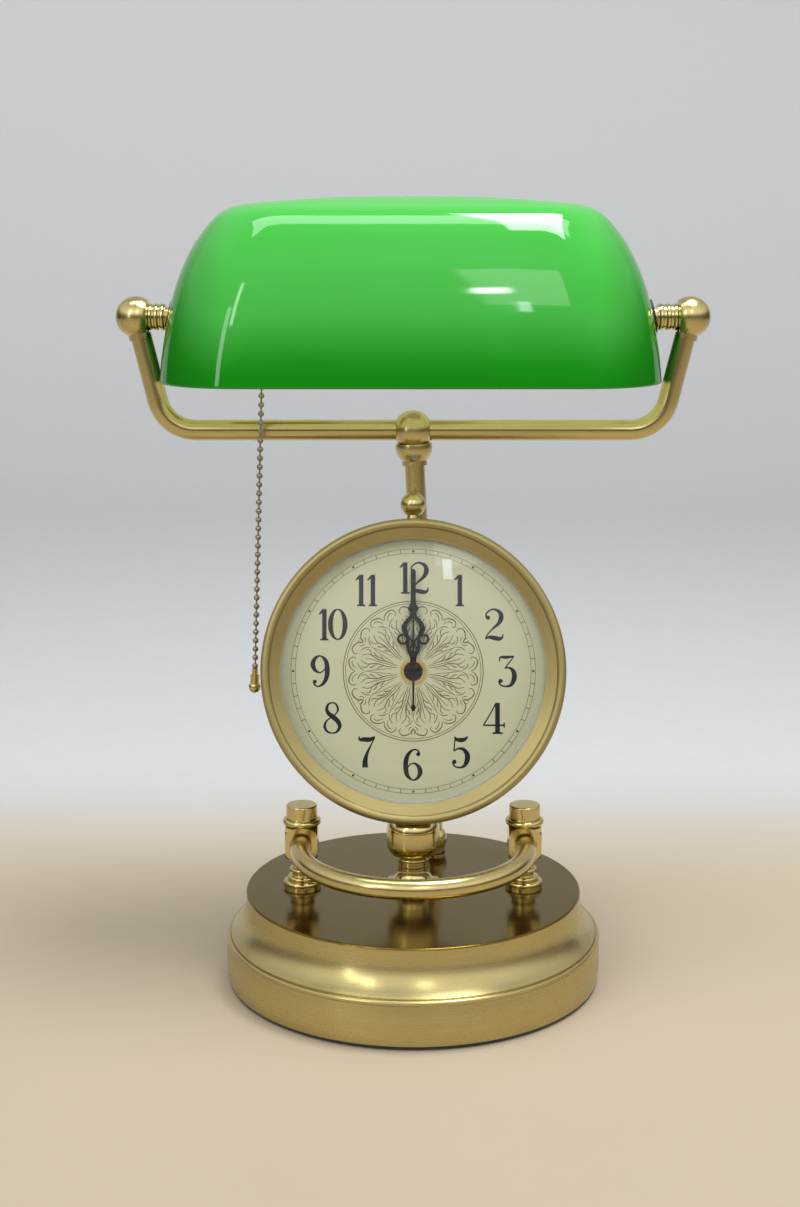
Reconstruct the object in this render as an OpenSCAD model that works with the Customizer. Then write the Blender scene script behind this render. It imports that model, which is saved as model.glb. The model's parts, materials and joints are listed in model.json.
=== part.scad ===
// Banker desk lamp with a clock and a pen rail
// Millimetres, +Z up, front towards -Y. Origin: centre of the felt pad's underside.

/* [Base] */
// Diameter of the lower band
base_d = 194; // [190:1:200]
// Height of the flat top above the table
base_h = 47; // [46:0.5:48]
// Diameter of the flat top
top_d = 173; // [171:1:175]
// Thickness of the felt pad
felt_t = 1.8; // [1.2:0.1:2]

/* [Pen rail] */
// Distance between the two posts
post_span = 115; // [112:1:118]
// Diameter of the rail
rail_d = 10; // [9:0.5:10.5]
// Height of the rail's centre above the table
rail_z = 72; // [71:0.5:73]
// Straight length of each rail end in front of its post
rail_leg = 8; // [6:1:10]

/* [Clock] */
// Outside diameter of the bezel
bezel_d = 156; // [155:0.5:157]
// Angle that the dial leans back
clock_tilt = 13.3; // [12:0.1:13.5]
// Height of the dial centre above the table
clock_z = 161.4; // [161:0.2:162]
// Diameter of the ball on top of the clock
finial_d = 13.1; // [12:0.1:14]

/* [Column] */
// Widest diameter of the turned column
column_d = 27.4; // [26:0.2:28]
// Height of the column above the base
column_h = 36; // [35:0.5:36]

/* [Pole] */
// Outside diameter of the pole
pole_d = 10.4; // [10:0.1:10.6]
// Distance of the pole behind the middle of the base
pole_y = 54; // [53:0.5:55]
// Sideways place of the pole's foot
pole_foot_x = 12; // [10:0.5:13]

/* [Yoke] */
// Outside diameter of the yoke tube
tube_d = 10.8; // [10.4:0.1:10.8]
// Height of the yoke's middle ball
yoke_z = 278.4; // [278:0.2:279]
// Height of the shade's pivots
pivot_z = 337; // [336:0.5:338]
// Distance from the middle to each end ball
end_ball_x = 143.4; // [143.3:0.1:143.8]
// Diameter of the end balls
end_ball_d = 21.2; // [20.8:0.1:21.4]
// Angle that the arms lean outwards
arm_lean = 13; // [12.5:0.1:13]

/* [Shade] */
// Length of the shade at its rim
shade_l = 256; // [255.6:0.1:256.2]
// Width of the shade at its rim
shade_w = 132; // [130:1:134]
// Height of the shade
shade_h = 93.4; // [92:0.2:94]
// Thickness of the glass
glass_t = 3.5; // [3:0.1:3.6]
// Sideways place of the shade in the yoke
shade_shift = -1.4; // [-1.5:0.1:-1.3]

/* [Chain] */
// Diameter of a bead
bead_d = 3.2; // [3:0.1:3.3]
// Distance between beads
bead_pitch = 4.6; // [4.5:0.05:4.7]
// Number of beads below the switch
bead_count = 35; // [30:1:36]

/* [Hidden] */
$fn = 96;

base_r = base_d / 2;
top_r = top_d / 2;
wall = 2;
band_top = 22;
cove_r = 19.5;
cove_x = top_r + cove_r;
cove_z = base_h - 6;
ridge_x = top_r + 8.1;
plate_t = 2;
plate_r = base_r - wall - 1.2;
gland_z = 14;
gland_bore_r = 3.4;

post_x = post_span / 2;
post_half = 8.3;
post_cap_r = 8;
post_top = rail_z + 12;
rail_arc_y = -post_half - rail_leg;

bezel_r = bezel_d / 2;
drum_r = 72;
drum_wall = 1.6;
drum_depth = 28;
dial_front = 12.4;
dial_r = drum_r - drum_wall - 0.2;
arbor_gap = 0.08;
knob_up = 12;
finial_up = drum_r + 14.3;
finial_depth = 16.2;
notch_r = 66.95;
rod_r = 2.5;
rod_hole_r = 2.8;
column_top = base_h + column_h;

pole_lean = atan(pole_foot_x / (yoke_z - base_h));
pole_len = norm([pole_foot_x, yoke_z - base_h]);
pole_r = pole_d / 2;
pole_bore_r = 3.9;
pole_top = pole_len - 11.8;
ball_r = 10.4;
cup_r = 9.6;
cup_drop = 8.9;
cup_bore_r = pole_r + 0.05;

tube_r = tube_d / 2;
tube_bore_r = 4.3;
bend_r = 20;
arm_rise = pivot_z - yoke_z - bend_r * (1 - sin(arm_lean));
bend_x = end_ball_x - arm_rise * tan(arm_lean) - bend_r * cos(arm_lean);
end_ball_r = end_ball_d / 2;
ball_flat = 5.9;
stud_r = 4.9;
stud_bore_r = 3.5;
nut_r = 7;
washer_r = 8.8;
washer_gap = 0.15;
glass_slope = 11.3;
glass_x = shade_l / 2 - 4;

shade_z = pivot_z - 32;
crown_h = 3.7;
crown_inset = 43;
draft = 0.075;
corner_r = 46;
arc_steps = 11;
bend_steps = 10;

holder_x = -101;
shell_x = -84;
mouth_x = -46;
bulb_r = 27.5;
switch_x = -77.2;
switch_y = pole_y - 16;
chain_top = pivot_z - 19;
chain_lean = 2.2;
hinge_drop = 3.5;
chain_drop = hinge_drop + 1.5;
chain_len = bead_pitch * (bead_count - 1);

wire_r = 2.4;

// ---- helpers -------------------------------------------------------------

// A ring or tube along Z
module tube(r_out, r_in, h) {
    difference() {
        cylinder(r = r_out, h = h);
        translate([0, 0, -1]) cylinder(r = r_in, h = h + 2);
    }
}

// A hexagon nut along Z with a round bore
module hex_nut(r_out, r_in, h) {
    difference() {
        cylinder(r = r_out, h = h, $fn = 6);
        translate([0, 0, -1]) cylinder(r = r_in, h = h + 2);
    }
}

// Children's Z axis becomes the dial's depth, and their -Y is up the dial
module clock_frame() {
    translate([0, 0, clock_z]) rotate([-90 - clock_tilt, 0, 0]) children();
}

// Children's Z axis becomes the pole's axis, from the base's top
module pole_frame() {
    translate([pole_foot_x, pole_y, base_h]) rotate([0, -pole_lean, 0]) children();
}

// Children's Z axis becomes the +X axis through the shade's pivots
module pivot_frame() {
    translate([0, pole_y, pivot_z]) rotate([0, 90, 0]) children();
}

// ---- base ----------------------------------------------------------------

// Outside outline of the base as radius and height
module base_outline() {
    polygon([[0, felt_t], [base_r - 0.7, felt_t], [base_r - 0.15, 7], [base_r, 12],
        [base_r - 0.2, 17], [base_r - 0.8, band_top], [0, band_top]]);
    translate([ridge_x + 0.8, band_top + 1.2]) circle(r = 1.4);
    difference() {
        translate([0, band_top - 1]) square([ridge_x, base_h - band_top]);
        translate([cove_x, cove_z]) circle(r = cove_r);
        translate([top_r, cove_z]) square([cove_r, 20]);
    }
    translate([0, base_h - 2]) square([top_r - 1, 2]);
    translate([top_r - 1, base_h - 1]) circle(r = 1);
}

// Space inside the base shell
module base_hollow() {
    translate([0, -1]) square([base_r - 0.8 - wall, band_top - 0.5]);
    difference() {
        translate([0, band_top - 2]) square([ridge_x - wall, base_h - band_top + 2 - wall]);
        translate([cove_x, cove_z]) circle(r = cove_r + wall);
        translate([top_r - wall, cove_z]) square([cove_r, 20]);
    }
}

module base_shell() {
    color("darkgoldenrod") difference() {
        rotate_extrude($fn = 192) difference() {
            base_outline();
            base_hollow();
        }
        translate([0, 0, base_h - 5]) cylinder(r = rod_hole_r, h = 10);
        for (side = [-1, 1]) translate([side * post_x, 0, base_h - 5]) cylinder(r = 2.6, h = 10);
        pole_frame() translate([0, 0, -5]) cylinder(r = pole_r + 0.1, h = 10);
        translate([0, base_r - 10, gland_z]) rotate([-90, 0, 0]) cylinder(r = 5.2, h = 20);
    }
}

module base_weight() {
    color("dimgray") difference() {
        translate([0, 0, felt_t + plate_t]) cylinder(r = 80, h = 12);
        cylinder(r = 14, h = 60);
        translate([pole_foot_x, pole_y, 0]) cylinder(r = 11, h = 60);
        translate([-6, 60, 0]) cube([12, 40, 60]);
        for (a = [45:90:315]) rotate(a) translate([70, 0, 0]) cylinder(r = 1.7, h = 60);
    }
}

module base_plate() {
    color("gray") difference() {
        translate([0, 0, felt_t]) cylinder(r = plate_r, h = plate_t);
        for (a = [45:90:315]) rotate(a) translate([70, 0, 0]) cylinder(r = 1.7, h = 20);
    }
}

module base_plate_screws() {
    color("silver") for (a = [45:90:315]) rotate(a) translate([70, 0, felt_t - 0.9]) {
        cylinder(r = 3.2, h = 0.9);
        cylinder(r = 1.65, h = 10);
    }
}

module felt_pad() {
    color("black") difference() {
        cylinder(r = base_r - 1, h = felt_t);
        for (a = [45:90:315]) rotate(a) translate([70, 0, felt_t - 1]) cylinder(r = 3.4, h = 2);
    }
}

// Rubber bush where a mains cord enters, at the back of the band
module cord_grommet() {
    color("black") translate([0, base_r - 4.4, gland_z]) rotate([-90, 0, 0]) difference() {
        union() {
            cylinder(r = 5.1, h = 6.2);
            translate([0, 0, 4.6]) cylinder(r = 6.6, h = 1.8);
            cylinder(r = 6.4, h = 1.2);
        }
        translate([0, 0, -1]) cylinder(r = gland_bore_r, h = 9);
    }
}

module terminal_block() {
    color("ivory") difference() {
        translate([-34, 50, felt_t + plate_t + 12]) cube([26, 16, 12]);
        for (x = [-27.5, -14.5]) translate([x, 45, felt_t + plate_t + 18]) rotate([-90, 0, 0])
            cylinder(r = 2, h = 30);
    }
}

// The four nuts and the washer under the base's top
module base_nuts() {
    nut_z = base_h - wall - 5;
    color("silver") {
        translate([0, 0, nut_z - 0.2]) hex_nut(5, rod_r, 4);
        translate([0, 0, base_h - wall - 1.2]) tube(9, rod_hole_r, 1.2);
        for (side = [-1, 1]) translate([side * post_x, 0, nut_z + 1]) hex_nut(4.6, 2.5, 4);
        pole_frame() translate([0, 0, -wall - 5.4]) hex_nut(9, pole_r, 5);
    }
}

// ---- pen rail ------------------------------------------------------------

// Turned post with a square block, at the origin
module rail_post() {
    block_z = 15.8;
    block_h = post_top - base_h - 3.4 - block_z;
    difference() {
        union() {
            rotate_extrude() {
                square([9.5, 1.2]);
                translate([8.2, 2.2]) circle(r = 1.6);
                square([8.2, 3.9]);
                translate([6.4, 4.8]) circle(r = 1.2);
                square([6.4, 6.1]);
                square([5.2, 20]);
                translate([5.6, 9.2]) circle(r = 1);
                translate([5.4, 14.2]) circle(r = 1.2);
                translate([0, post_top - base_h - 3.6]) square([8.3, 3.6]);
                translate([8.3, post_top - base_h - 1.8]) circle(r = 1.65);
            }
            intersection() {
                translate([-post_half, -post_half, block_z])
                    cube([2 * post_half, 2 * post_half, block_h]);
                translate([0, 0, block_z]) rotate_extrude() polygon([[0, 0], [7.2, 0],
                    [9.6, 0.8], [11, 2.2], [11.8, 4.4], [11.8, block_h - 4.4],
                    [11, block_h - 2.2], [9.6, block_h - 0.8], [7.2, block_h], [0, block_h]]);
            }
            translate([0, 0, -6.5]) cylinder(r = 2.5, h = 8);
        }
        translate([0, 0, rail_z - base_h]) rotate([90, 0, 0]) {
            translate([0, 0, 4]) cylinder(r = 6, h = 9);
            translate([0, 0, -2]) cylinder(r = rail_d / 2, h = 9);
            translate([0, 0, -12]) cylinder(r = 2.1, h = 13);
        }
        translate([0, 0, post_top - base_h - 5.5]) cylinder(r = 2, h = 10);
    }
}

module rail_post_left() {
    color("goldenrod") translate([-post_x, 0, base_h]) rail_post();
}

module rail_post_right() {
    color("goldenrod") translate([post_x, 0, base_h]) rail_post();
}

// Turned cap screwed on the post
module rail_cap() {
    color("goldenrod") {
        rotate_extrude() {
            square([post_cap_r - 0.5, 1.4]);
            translate([0, 0.6]) square([post_cap_r, 5.6]);
            square([post_cap_r - 0.8, 7]);
            translate([post_cap_r - 0.8, 6.2]) circle(r = 0.8);
        }
        translate([0, 0, -5.2]) cylinder(r = 2, h = 6);
    }
}

module rail_cap_left() {
    translate([-post_x, 0, post_top]) rail_cap();
}

module rail_cap_right() {
    translate([post_x, 0, post_top]) rail_cap();
}

module pen_rail() {
    color("goldenrod") translate([0, 0, rail_z]) difference() {
        union() {
            translate([0, rail_arc_y, 0]) rotate(180) rotate_extrude(angle = 180, $fn = 144)
                translate([post_x, 0]) circle(r = rail_d / 2);
            for (side = [-1, 1]) translate([side * post_x, 1.8, 0]) rotate([90, 0, 0])
                cylinder(r = rail_d / 2, h = 1.8 - rail_arc_y);
        }
        for (side = [-1, 1]) translate([side * post_x, 2, 0]) rotate([90, 0, 0])
            cylinder(r = 2, h = 11);
    }
}

// Screws from the back of each post into the rail's ends
module rail_screws() {
    color("silver") for (side = [-1, 1]) translate([side * post_x, 0, rail_z]) rotate([90, 0, 0]) {
        translate([0, 0, -post_half - 2.4]) cylinder(r = 3.6, h = 2.4);
        translate([0, 0, -post_half - 0.2]) cylinder(r = 1.95, h = post_half + 8);
    }
}

// ---- clock column --------------------------------------------------------

module clock_column() {
    bulge = 8;
    bulge_x = column_d / 2 - bulge;
    color("goldenrod") translate([0, 0, base_h]) difference() {
        rotate_extrude() {
            square([14, 1.4]);
            difference() {
                square([14, 12]);
                translate([16.5, 10.6]) circle(r = 8.6);
            }
            square([7.9, 20]);
            translate([7.6, 15.2]) circle(r = 0.9);
            intersection() {
                union() {
                    for (z = [23.7, column_h - 5]) translate([bulge_x, z]) circle(r = bulge);
                    translate([0, 23.7]) square([column_d / 2, column_h - 28.7]);
                    square([bulge_x, column_h]);
                }
                translate([0, 16.4]) square([20, column_h - 16.4]);
            }
        }
        translate([0, 0, -1]) cylinder(r = rod_hole_r, h = 40);
    }
}

// Rod through the column, with its nut inside the clock case
module column_stud() {
    color("silver") translate([0, 0, base_h - 9]) cylinder(r = rod_r, h = 55.2);
    color("silver") translate([0, 0, clock_z - 70.8]) hex_nut(4, rod_r, 2);
}

// Seat between the column and the round clock case, cut to the case's slope
module clock_saddle() {
    color("goldenrod") difference() {
        translate([0, 0, column_top]) cylinder(r = 6, h = 10);
        clock_frame() translate([0, 0, -5]) cylinder(r = drum_r, h = 45, $fn = 192);
        translate([0, 0, column_top - 1]) cylinder(r = rod_hole_r, h = 40);
    }
}

// ---- clock ---------------------------------------------------------------

module clock_case() {
    color("darkgoldenrod") difference() {
        clock_frame() {
            translate([0, 0, 6.9]) tube(drum_r, drum_r - drum_wall, drum_depth - 6.9);
            translate([0, 0, drum_depth - 2.6]) tube(drum_r - 1, drum_r - 5, 1.2);
        }
        translate([0, 0, clock_z - drum_r - 4]) cylinder(r = rod_hole_r, h = 12);
        clock_frame() translate([0, -drum_r + 5, finial_depth]) rotate([90, 0, 0])
            cylinder(r = 2.2, h = 12);
        clock_frame() for (a = [30:120:270]) rotate(a) translate([67.7, 0, drum_depth - 4])
            cylinder(r = 1.1, h = 4);
    }
}

module clock_bezel() {
    face_in = 67.5;
    color("goldenrod") clock_frame() rotate_extrude($fn = 192) {
        polygon([[face_in, 4.4], [face_in + 0.8, 4.2], [73.8, 1.6], [75.6, 1], [bezel_r, 2.6],
            [bezel_r, 5.6], [76.6, 8.2], [74.4, 9.4], [74.4, 10.5], [drum_r + 0.1, 10.5],
            [drum_r + 0.1, 6.6], [face_in, 5.9]]);
        translate([bezel_r - 2.4, 2.4]) circle(r = 2.4);
    }
}

module clock_glass() {
    dome_r = 471.7;
    apex = 1.5;
    color([0.85, 0.92, 0.92, 0.35]) clock_frame() rotate_extrude($fn = 192) intersection() {
        difference() {
            translate([0, apex + dome_r]) circle(r = dome_r, $fn = 720);
            translate([0, apex + dome_r]) circle(r = dome_r - 2, $fn = 720);
        }
        square([dial_r - 0.4, 12]);
    }
}

module dial_spacer() {
    color("goldenrod") clock_frame() translate([0, 0, 8.9]) tube(dial_r, 66.9, dial_front - 8.9);
}

module dial_plate() {
    color("beige") clock_frame() translate([0, 0, dial_front]) difference() {
        tube(dial_r, 4.2, 0.8);
        for (turn = [0, 180]) rotate(turn) translate([-5.5, notch_r, -1]) cube([11, 10, 3]);
    }
}

module movement() {
    back = drum_depth + 1;
    color("dimgray") clock_frame() difference() {
        union() {
            translate([-28, -28, dial_front + 0.9]) cube([56, 56, back - dial_front - 0.9]);
            translate([0, 0, dial_front - 2.4]) cylinder(r = 4.1, h = 4);
        }
        translate([0, 0, 5]) cylinder(r = 2.6, h = 17);
        translate([-26, 10.4, 14.4]) cube([52, 15.2, 20]);
        translate([0, -knob_up, 20]) cylinder(r = 1.5 + arbor_gap, h = 20);
    }
}

module movement_nut() {
    color("gold") clock_frame() translate([0, 0, dial_front - 1.8]) tube(6.6, 4.15, 1.8);
}

module battery() {
    color("steelblue") clock_frame() translate([-24.5, 18, 21.7]) rotate([0, 90, 0]) {
        cylinder(r = 7.1, h = 48);
        cylinder(r = 2.7, h = 49.6);
    }
}

// Hub and tube that carry a hand, coaxial with the dial
module hand_hub(r_hub, r_tube, r_bore, front, back) {
    difference() {
        union() {
            translate([0, 0, front]) cylinder(r = r_hub, h = 0.6);
            translate([0, 0, front]) cylinder(r = r_tube, h = back - front);
        }
        translate([0, 0, front - 1]) cylinder(r = r_bore, h = back - front + 2);
    }
}

// A ring of openwork on a hand
module hand_loop(x, up, r_out, r_in) {
    translate([x, -up, 0]) tube(r_out, r_in, 0.6);
}

module hour_hand() {
    front = 9.1;
    color("black") clock_frame() {
        hand_hub(5, 2.5, 1.75 + arbor_gap, front, 18);
        translate([0, 0, front]) {
            for (side = [-1, 1]) hand_loop(side * 5.3, 13.5, 2.9, 1.6);
            hand_loop(0, 17.4, 3.9, 2.4);
            linear_extrude(0.6) {
                polygon([[-1, -4], [1, -4], [2.4, -14], [-2.4, -14]]);
                polygon([[-1.1, -20.6], [1.1, -20.6], [0.9, -28], [-0.9, -28]]);
                polygon([[-2.6, -29], [0, -26.5], [2.6, -29], [0, -34]]);
            }
        }
    }
}

module minute_hand() {
    front = 7.9;
    color("black") clock_frame() {
        hand_hub(4.2, 1.75, 0.9 + arbor_gap, front, 19);
        translate([0, 0, front]) {
            for (side = [-1, 1]) hand_loop(side * 3.2, 21.6, 2.2, 1.1);
            hand_loop(0, 25, 2.6, 1.4);
            linear_extrude(0.6) {
                polygon([[-1, -3.5], [1, -3.5], [1.5, -21], [-1.5, -21]]);
                polygon([[-1.3, -27], [1.3, -27], [0.5, -51.8], [-0.5, -51.8]]);
            }
        }
    }
}

module second_hand() {
    front = 6.8;
    color("black") clock_frame() {
        translate([0, 0, front]) cylinder(r = 3.4, h = 0.5);
        translate([0, 0, front]) cylinder(r = 0.9, h = 12.6);
        translate([0, 0, front]) linear_extrude(0.5) {
            polygon([[-0.5, 0], [0.5, 0], [0.25, -50], [-0.25, -50]]);
            polygon([[-0.4, 0], [0.4, 0], [0.4, 18], [-0.4, 18]]);
            polygon([[0, 15.5], [1.6, 18.6], [0, 22], [-1.6, 18.6]]);
        }
    }
}

module time_set_knob() {
    color("black") clock_frame() translate([0, -knob_up, 0]) {
        translate([0, 0, 23]) cylinder(r = 1.5, h = 8);
        difference() {
            translate([0, 0, drum_depth + 1.4]) cylinder(r = 6.5, h = 4.6);
            for (a = [0:30:330]) rotate(a) translate([7.2, 0, drum_depth]) cylinder(r = 1.1, h = 8);
        }
    }
}

module clock_back() {
    color("darkgoldenrod") clock_frame() difference() {
        translate([0, 0, drum_depth - 1.4]) cylinder(r = dial_r, h = 1.4);
        translate([-28.5, -28.5, 0]) cube([57, 57, 60]);
        for (a = [30:120:270]) rotate(a) translate([67.7, 0, 0]) cylinder(r = 1.2, h = 60);
    }
}

module back_screws() {
    color("silver") clock_frame() for (a = [30:120:270]) rotate(a) translate([67.7, 0, 0]) {
        translate([0, 0, drum_depth]) cylinder(r = 2.2, h = 1.2);
        translate([0, 0, drum_depth - 3.6]) cylinder(r = 1.05, h = 4);
    }
}

module clock_finial() {
    color("goldenrod") clock_frame() translate([0, 0, finial_depth]) {
        translate([0, -finial_up, 0]) sphere(r = finial_d / 2);
        rotate([90, 0, 0]) {
            translate([0, 0, drum_r + 0.1]) cylinder(r = 5, h = 1.4);
            translate([0, 0, drum_r + 0.1]) cylinder(r = 3.2, h = 9);
            translate([0, 0, notch_r - 0.5]) cylinder(r = 2, h = 8);
        }
    }
}

module finial_nut() {
    color("silver") clock_frame() translate([0, 0, finial_depth]) rotate([90, 0, 0])
        translate([0, 0, notch_r + 0.2]) hex_nut(3.6, 2, 2.8);
}

// ---- pole and swivel -----------------------------------------------------

module pole_tube() {
    color("goldenrod") pole_frame() translate([0, 0, -10]) tube(pole_r, pole_bore_r, pole_top + 10);
}

// Ball collar round the pole, seated on the base
module pole_foot_ball() {
    color("goldenrod") pole_frame() difference() {
        union() {
            translate([0, 0, 7.1]) sphere(r = 7.4);
            translate([0, 0, 0.5]) cylinder(r = 6, h = 2);
        }
        translate([0, 0, -3]) cylinder(r = pole_r, h = 30);
        translate([-20, -20, -19.7]) cube([40, 40, 20]);
    }
}

// Dished socket that turns on the pole and holds the yoke's middle ball
module swivel_cup() {
    color("goldenrod") pole_frame() translate([0, 0, pole_len]) difference() {
        union() {
            translate([0, 0, -cup_drop]) sphere(r = cup_r);
            translate([0, 0, -18.4]) cylinder(r = 6.6, h = 6);
        }
        sphere(r = ball_r + 0.06);
        translate([-15, -15, -6.8]) cube([30, 30, 30]);
        translate([0, 0, -25]) cylinder(r = cup_bore_r, h = 13.6);
        translate([0, 0, -14]) cylinder(r = 3, h = 10);
        translate([0, 0, -13.6]) rotate([90, 0, 0]) cylinder(r = 1.6, h = 12);
    }
}

module cup_set_screw() {
    color("dimgray") pole_frame() translate([0, 0, pole_len - 13.6]) rotate([90, 0, 0])
        translate([0, 0, cup_bore_r + 0.05]) difference() {
            cylinder(r = 1.55, h = 2.1);
            translate([0, 0, 1]) cylinder(r = 0.8, h = 2, $fn = 6);
        }
}

// ---- yoke ----------------------------------------------------------------

module yoke_ball() {
    color("goldenrod") translate([0, pole_y, yoke_z]) difference() {
        sphere(r = ball_r);
        translate([-20, 0, 0]) rotate([0, 90, 0]) cylinder(r = tube_r, h = 40);
        translate([0, 0, -20]) cylinder(r = 3, h = 20);
    }
}

// Points of the yoke's centre line as [x, z], from the middle out to end_gap below the pivot
function arm_line(end_gap) = concat([for (i = [0:bend_steps]) let(a = i * (90 - arm_lean) / bend_steps)
        [bend_x + bend_r * sin(a), yoke_z + bend_r * (1 - cos(a))]],
    [[end_ball_x - end_gap * sin(arm_lean), pivot_z - end_gap * cos(arm_lean)]]);

// The same line in reverse order, on the left side
function left_line(line) = [for (i = [len(line) - 1:-1:0]) [-line[i][0], line[i][1]]];

// Ring of points of radius r round point i of a line
function line_ring(line, i, r, sides) = let(
        last = len(line) - 1,
        d = line[min(i + 1, last)] - line[max(i - 1, 0)],
        n = [-d[1], d[0]] / norm(d)
    ) [for (k = [0:sides - 1]) let(t = k * 360 / sides)
        [line[i][0] + r * cos(t) * n[0], pole_y + r * sin(t), line[i][1] + r * cos(t) * n[1]]];

// Round bar that follows a line
module swept_bar(line, r, sides) {
    n = len(line);
    points = [for (i = [0:n - 1]) for (p = line_ring(line, i, r, sides)) p];
    walls = [for (i = [0:n - 2]) for (k = [0:sides - 1]) let(j = (k + 1) % sides)
        [i * sides + k, i * sides + j, (i + 1) * sides + j, (i + 1) * sides + k]];
    start_face = [for (k = [0:sides - 1]) sides - 1 - k];
    end_face = [for (k = [0:sides - 1]) (n - 1) * sides + k];
    polyhedron(points, concat(walls, [start_face, end_face]));
}

// Round tube that follows a line
module swept_tube(line, r_out, r_in, sides) {
    n = len(line);
    points = concat([for (i = [0:n - 1]) for (p = line_ring(line, i, r_out, sides)) p],
        [for (i = [0:n - 1]) for (p = line_ring(line, n - 1 - i, r_in, sides)) p]);
    walls = [for (i = [0:2 * n - 1]) for (k = [0:sides - 1]) let(
            j = (k + 1) % sides,
            next = (i + 1) % (2 * n)
        ) [i * sides + k, i * sides + j, next * sides + j, next * sides + k]];
    polyhedron(points, walls);
}

module yoke_tube() {
    line = arm_line(9);
    color("goldenrod") difference() {
        swept_tube(concat(left_line(line), line), tube_r, tube_bore_r, 36);
        translate([0, pole_y, yoke_z - 20]) cylinder(r = 3, h = 20);
    }
}

// Hollow end ball with a flat for the ribbed nut, built on the right side
module end_ball() {
    translate([end_ball_x, pole_y, pivot_z]) difference() {
        union() {
            sphere(r = end_ball_r);
            rotate([0, arm_lean, 0]) translate([0, 0, -end_ball_r - 0.8]) cylinder(r = 6.4, h = 3);
        }
        sphere(r = 5.8);
        translate([-ball_flat - 20, -20, -20]) cube([20, 40, 40]);
        rotate([0, arm_lean, 0]) translate([0, 0, -30]) cylinder(r = tube_r, h = 30);
        translate([-20, 0, 0]) rotate([0, 90, 0]) cylinder(r = stud_r, h = 20);
    }
}

module end_ball_left() {
    color("goldenrod") mirror([1, 0, 0]) end_ball();
}

module end_ball_right() {
    color("goldenrod") end_ball();
}

module stud_left() {
    color("gold") pivot_frame() translate([0, 0, -end_ball_x + 4.6])
        tube(stud_r, stud_bore_r, holder_x + 4 + end_ball_x - 4.6);
}

module stud_right() {
    color("gold") pivot_frame() translate([0, 0, glass_x - 16])
        tube(stud_r, stud_bore_r, end_ball_x - 4.6 - glass_x + 16);
}

// A washer lying on the sloped end wall, from x inwards or outwards by t, on the right side
module sloped_washer(x, t) {
    pivot_frame() translate([0, 0, x]) rotate([0, -glass_slope, 0]) tube(washer_r, stud_r + 0.6, t);
}

// Ribbed nut from x to the end ball, on the right side
module outer_nut(x) {
    nut_len = end_ball_x - ball_flat - x;
    rib = nut_len / 3;
    pivot_frame() translate([0, 0, x]) rotate_extrude() difference() {
        union() {
            translate([stud_r - 1, 0]) square([nut_r - stud_r + 0.4, nut_len]);
            for (i = [0:2]) translate([nut_r - rib / 2, (i + 0.5) * rib]) circle(r = rib / 2 - 0.05);
        }
        translate([0, -1]) square([stud_r, nut_len + 2]);
    }
}

module outer_nuts() {
    color("gold") {
        outer_nut(glass_x + shade_shift + 3.7);
        mirror([1, 0, 0]) outer_nut(glass_x - shade_shift + 2.7);
    }
}

module inner_nuts() {
    color("gold") {
        pivot_frame() translate([0, 0, glass_x + shade_shift - 11.7]) hex_nut(8, stud_r, 4);
        mirror([1, 0, 0]) pivot_frame() translate([0, 0, glass_x - shade_shift - 11.7])
            hex_nut(8, stud_r, 4);
    }
}

// Rubber washers on both sides of each end wall of the shade
module shade_washers() {
    color("black") {
        sloped_washer(glass_x + shade_shift + washer_gap, 2);
        sloped_washer(glass_x + shade_shift - glass_t - 2.1, 1.5);
        mirror([1, 0, 0]) {
            sloped_washer(glass_x - shade_shift + washer_gap, 1);
            sloped_washer(glass_x - shade_shift - glass_t - 2.1, 1.5);
        }
    }
}

// ---- shade ---------------------------------------------------------------

// Outline of a rounded rectangle with half sides a and b, at height h
function plan_ring(a, b, h) = let(r = min(corner_r, b))
    [for (q = [0:3], i = [0:arc_steps]) let(
        t = q * 90 + i * 90 / arc_steps,
        sx = (q == 0 || q == 3) ? 1 : -1,
        sy = q < 2 ? 1 : -1
    ) [sx * (a - r) + r * cos(t), sy * (b - r) + r * sin(t), h]];

// One ring of the shade's side wall at angle s of its quarter-oval section
function wall_ring(inset, s) = let(
        h = (shade_h - crown_h - inset) * pow(sin(s), 0.8),
        side = inset + draft * h,
        in = side + (crown_inset - side) * (1 - cos(s))
    ) plan_ring(shade_l / 2 - in, shade_w / 2 - in, h);

// One ring of the slightly domed crown, k from 1 at its edge towards 0 in the middle
function crown_ring(inset, k) =
    [for (p = plan_ring(shade_l / 2 - crown_inset, shade_w / 2 - crown_inset, 0))
        [p[0] * k, p[1] * k, shade_h - crown_h - inset + crown_h * (1 - k * k)]];

module glass_shade() {
    wall_steps = [0:10:80];
    crown_steps = [1, 0.8, 0.55, 0.3, 0.08];
    last = len(crown_steps) - 1;
    outer = concat([for (s = wall_steps) wall_ring(0, s)],
        [for (k = crown_steps) crown_ring(0, k)]);
    inner = concat([for (i = [0:last]) crown_ring(glass_t, crown_steps[last - i])],
        [for (s = wall_steps) wall_ring(glass_t, 80 - s)]);
    rings = concat(outer, inner);
    n = len(outer);
    count = len(outer[0]);
    points = [for (ring = rings) for (p = ring) p];
    sides = [for (r = [0:len(rings) - 1]) if (r != n - 1) for (i = [0:count - 1]) let(
            j = (i + 1) % count,
            up = (r + 1) % len(rings)
        ) [r * count + i, up * count + i, up * count + j, r * count + j]];
    top_cap = [for (i = [0:count - 1]) (n - 1) * count + count - 1 - i];
    under_cap = [for (i = [0:count - 1]) n * count + i];
    color("green") difference() {
        translate([shade_shift, pole_y, shade_z])
            polyhedron(points, concat(sides, [top_cap, under_cap]));
        pivot_frame() translate([0, 0, -200]) cylinder(r = stud_r + 0.6, h = 400);
    }
}

// ---- lamp holder and bulb ------------------------------------------------

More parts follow.
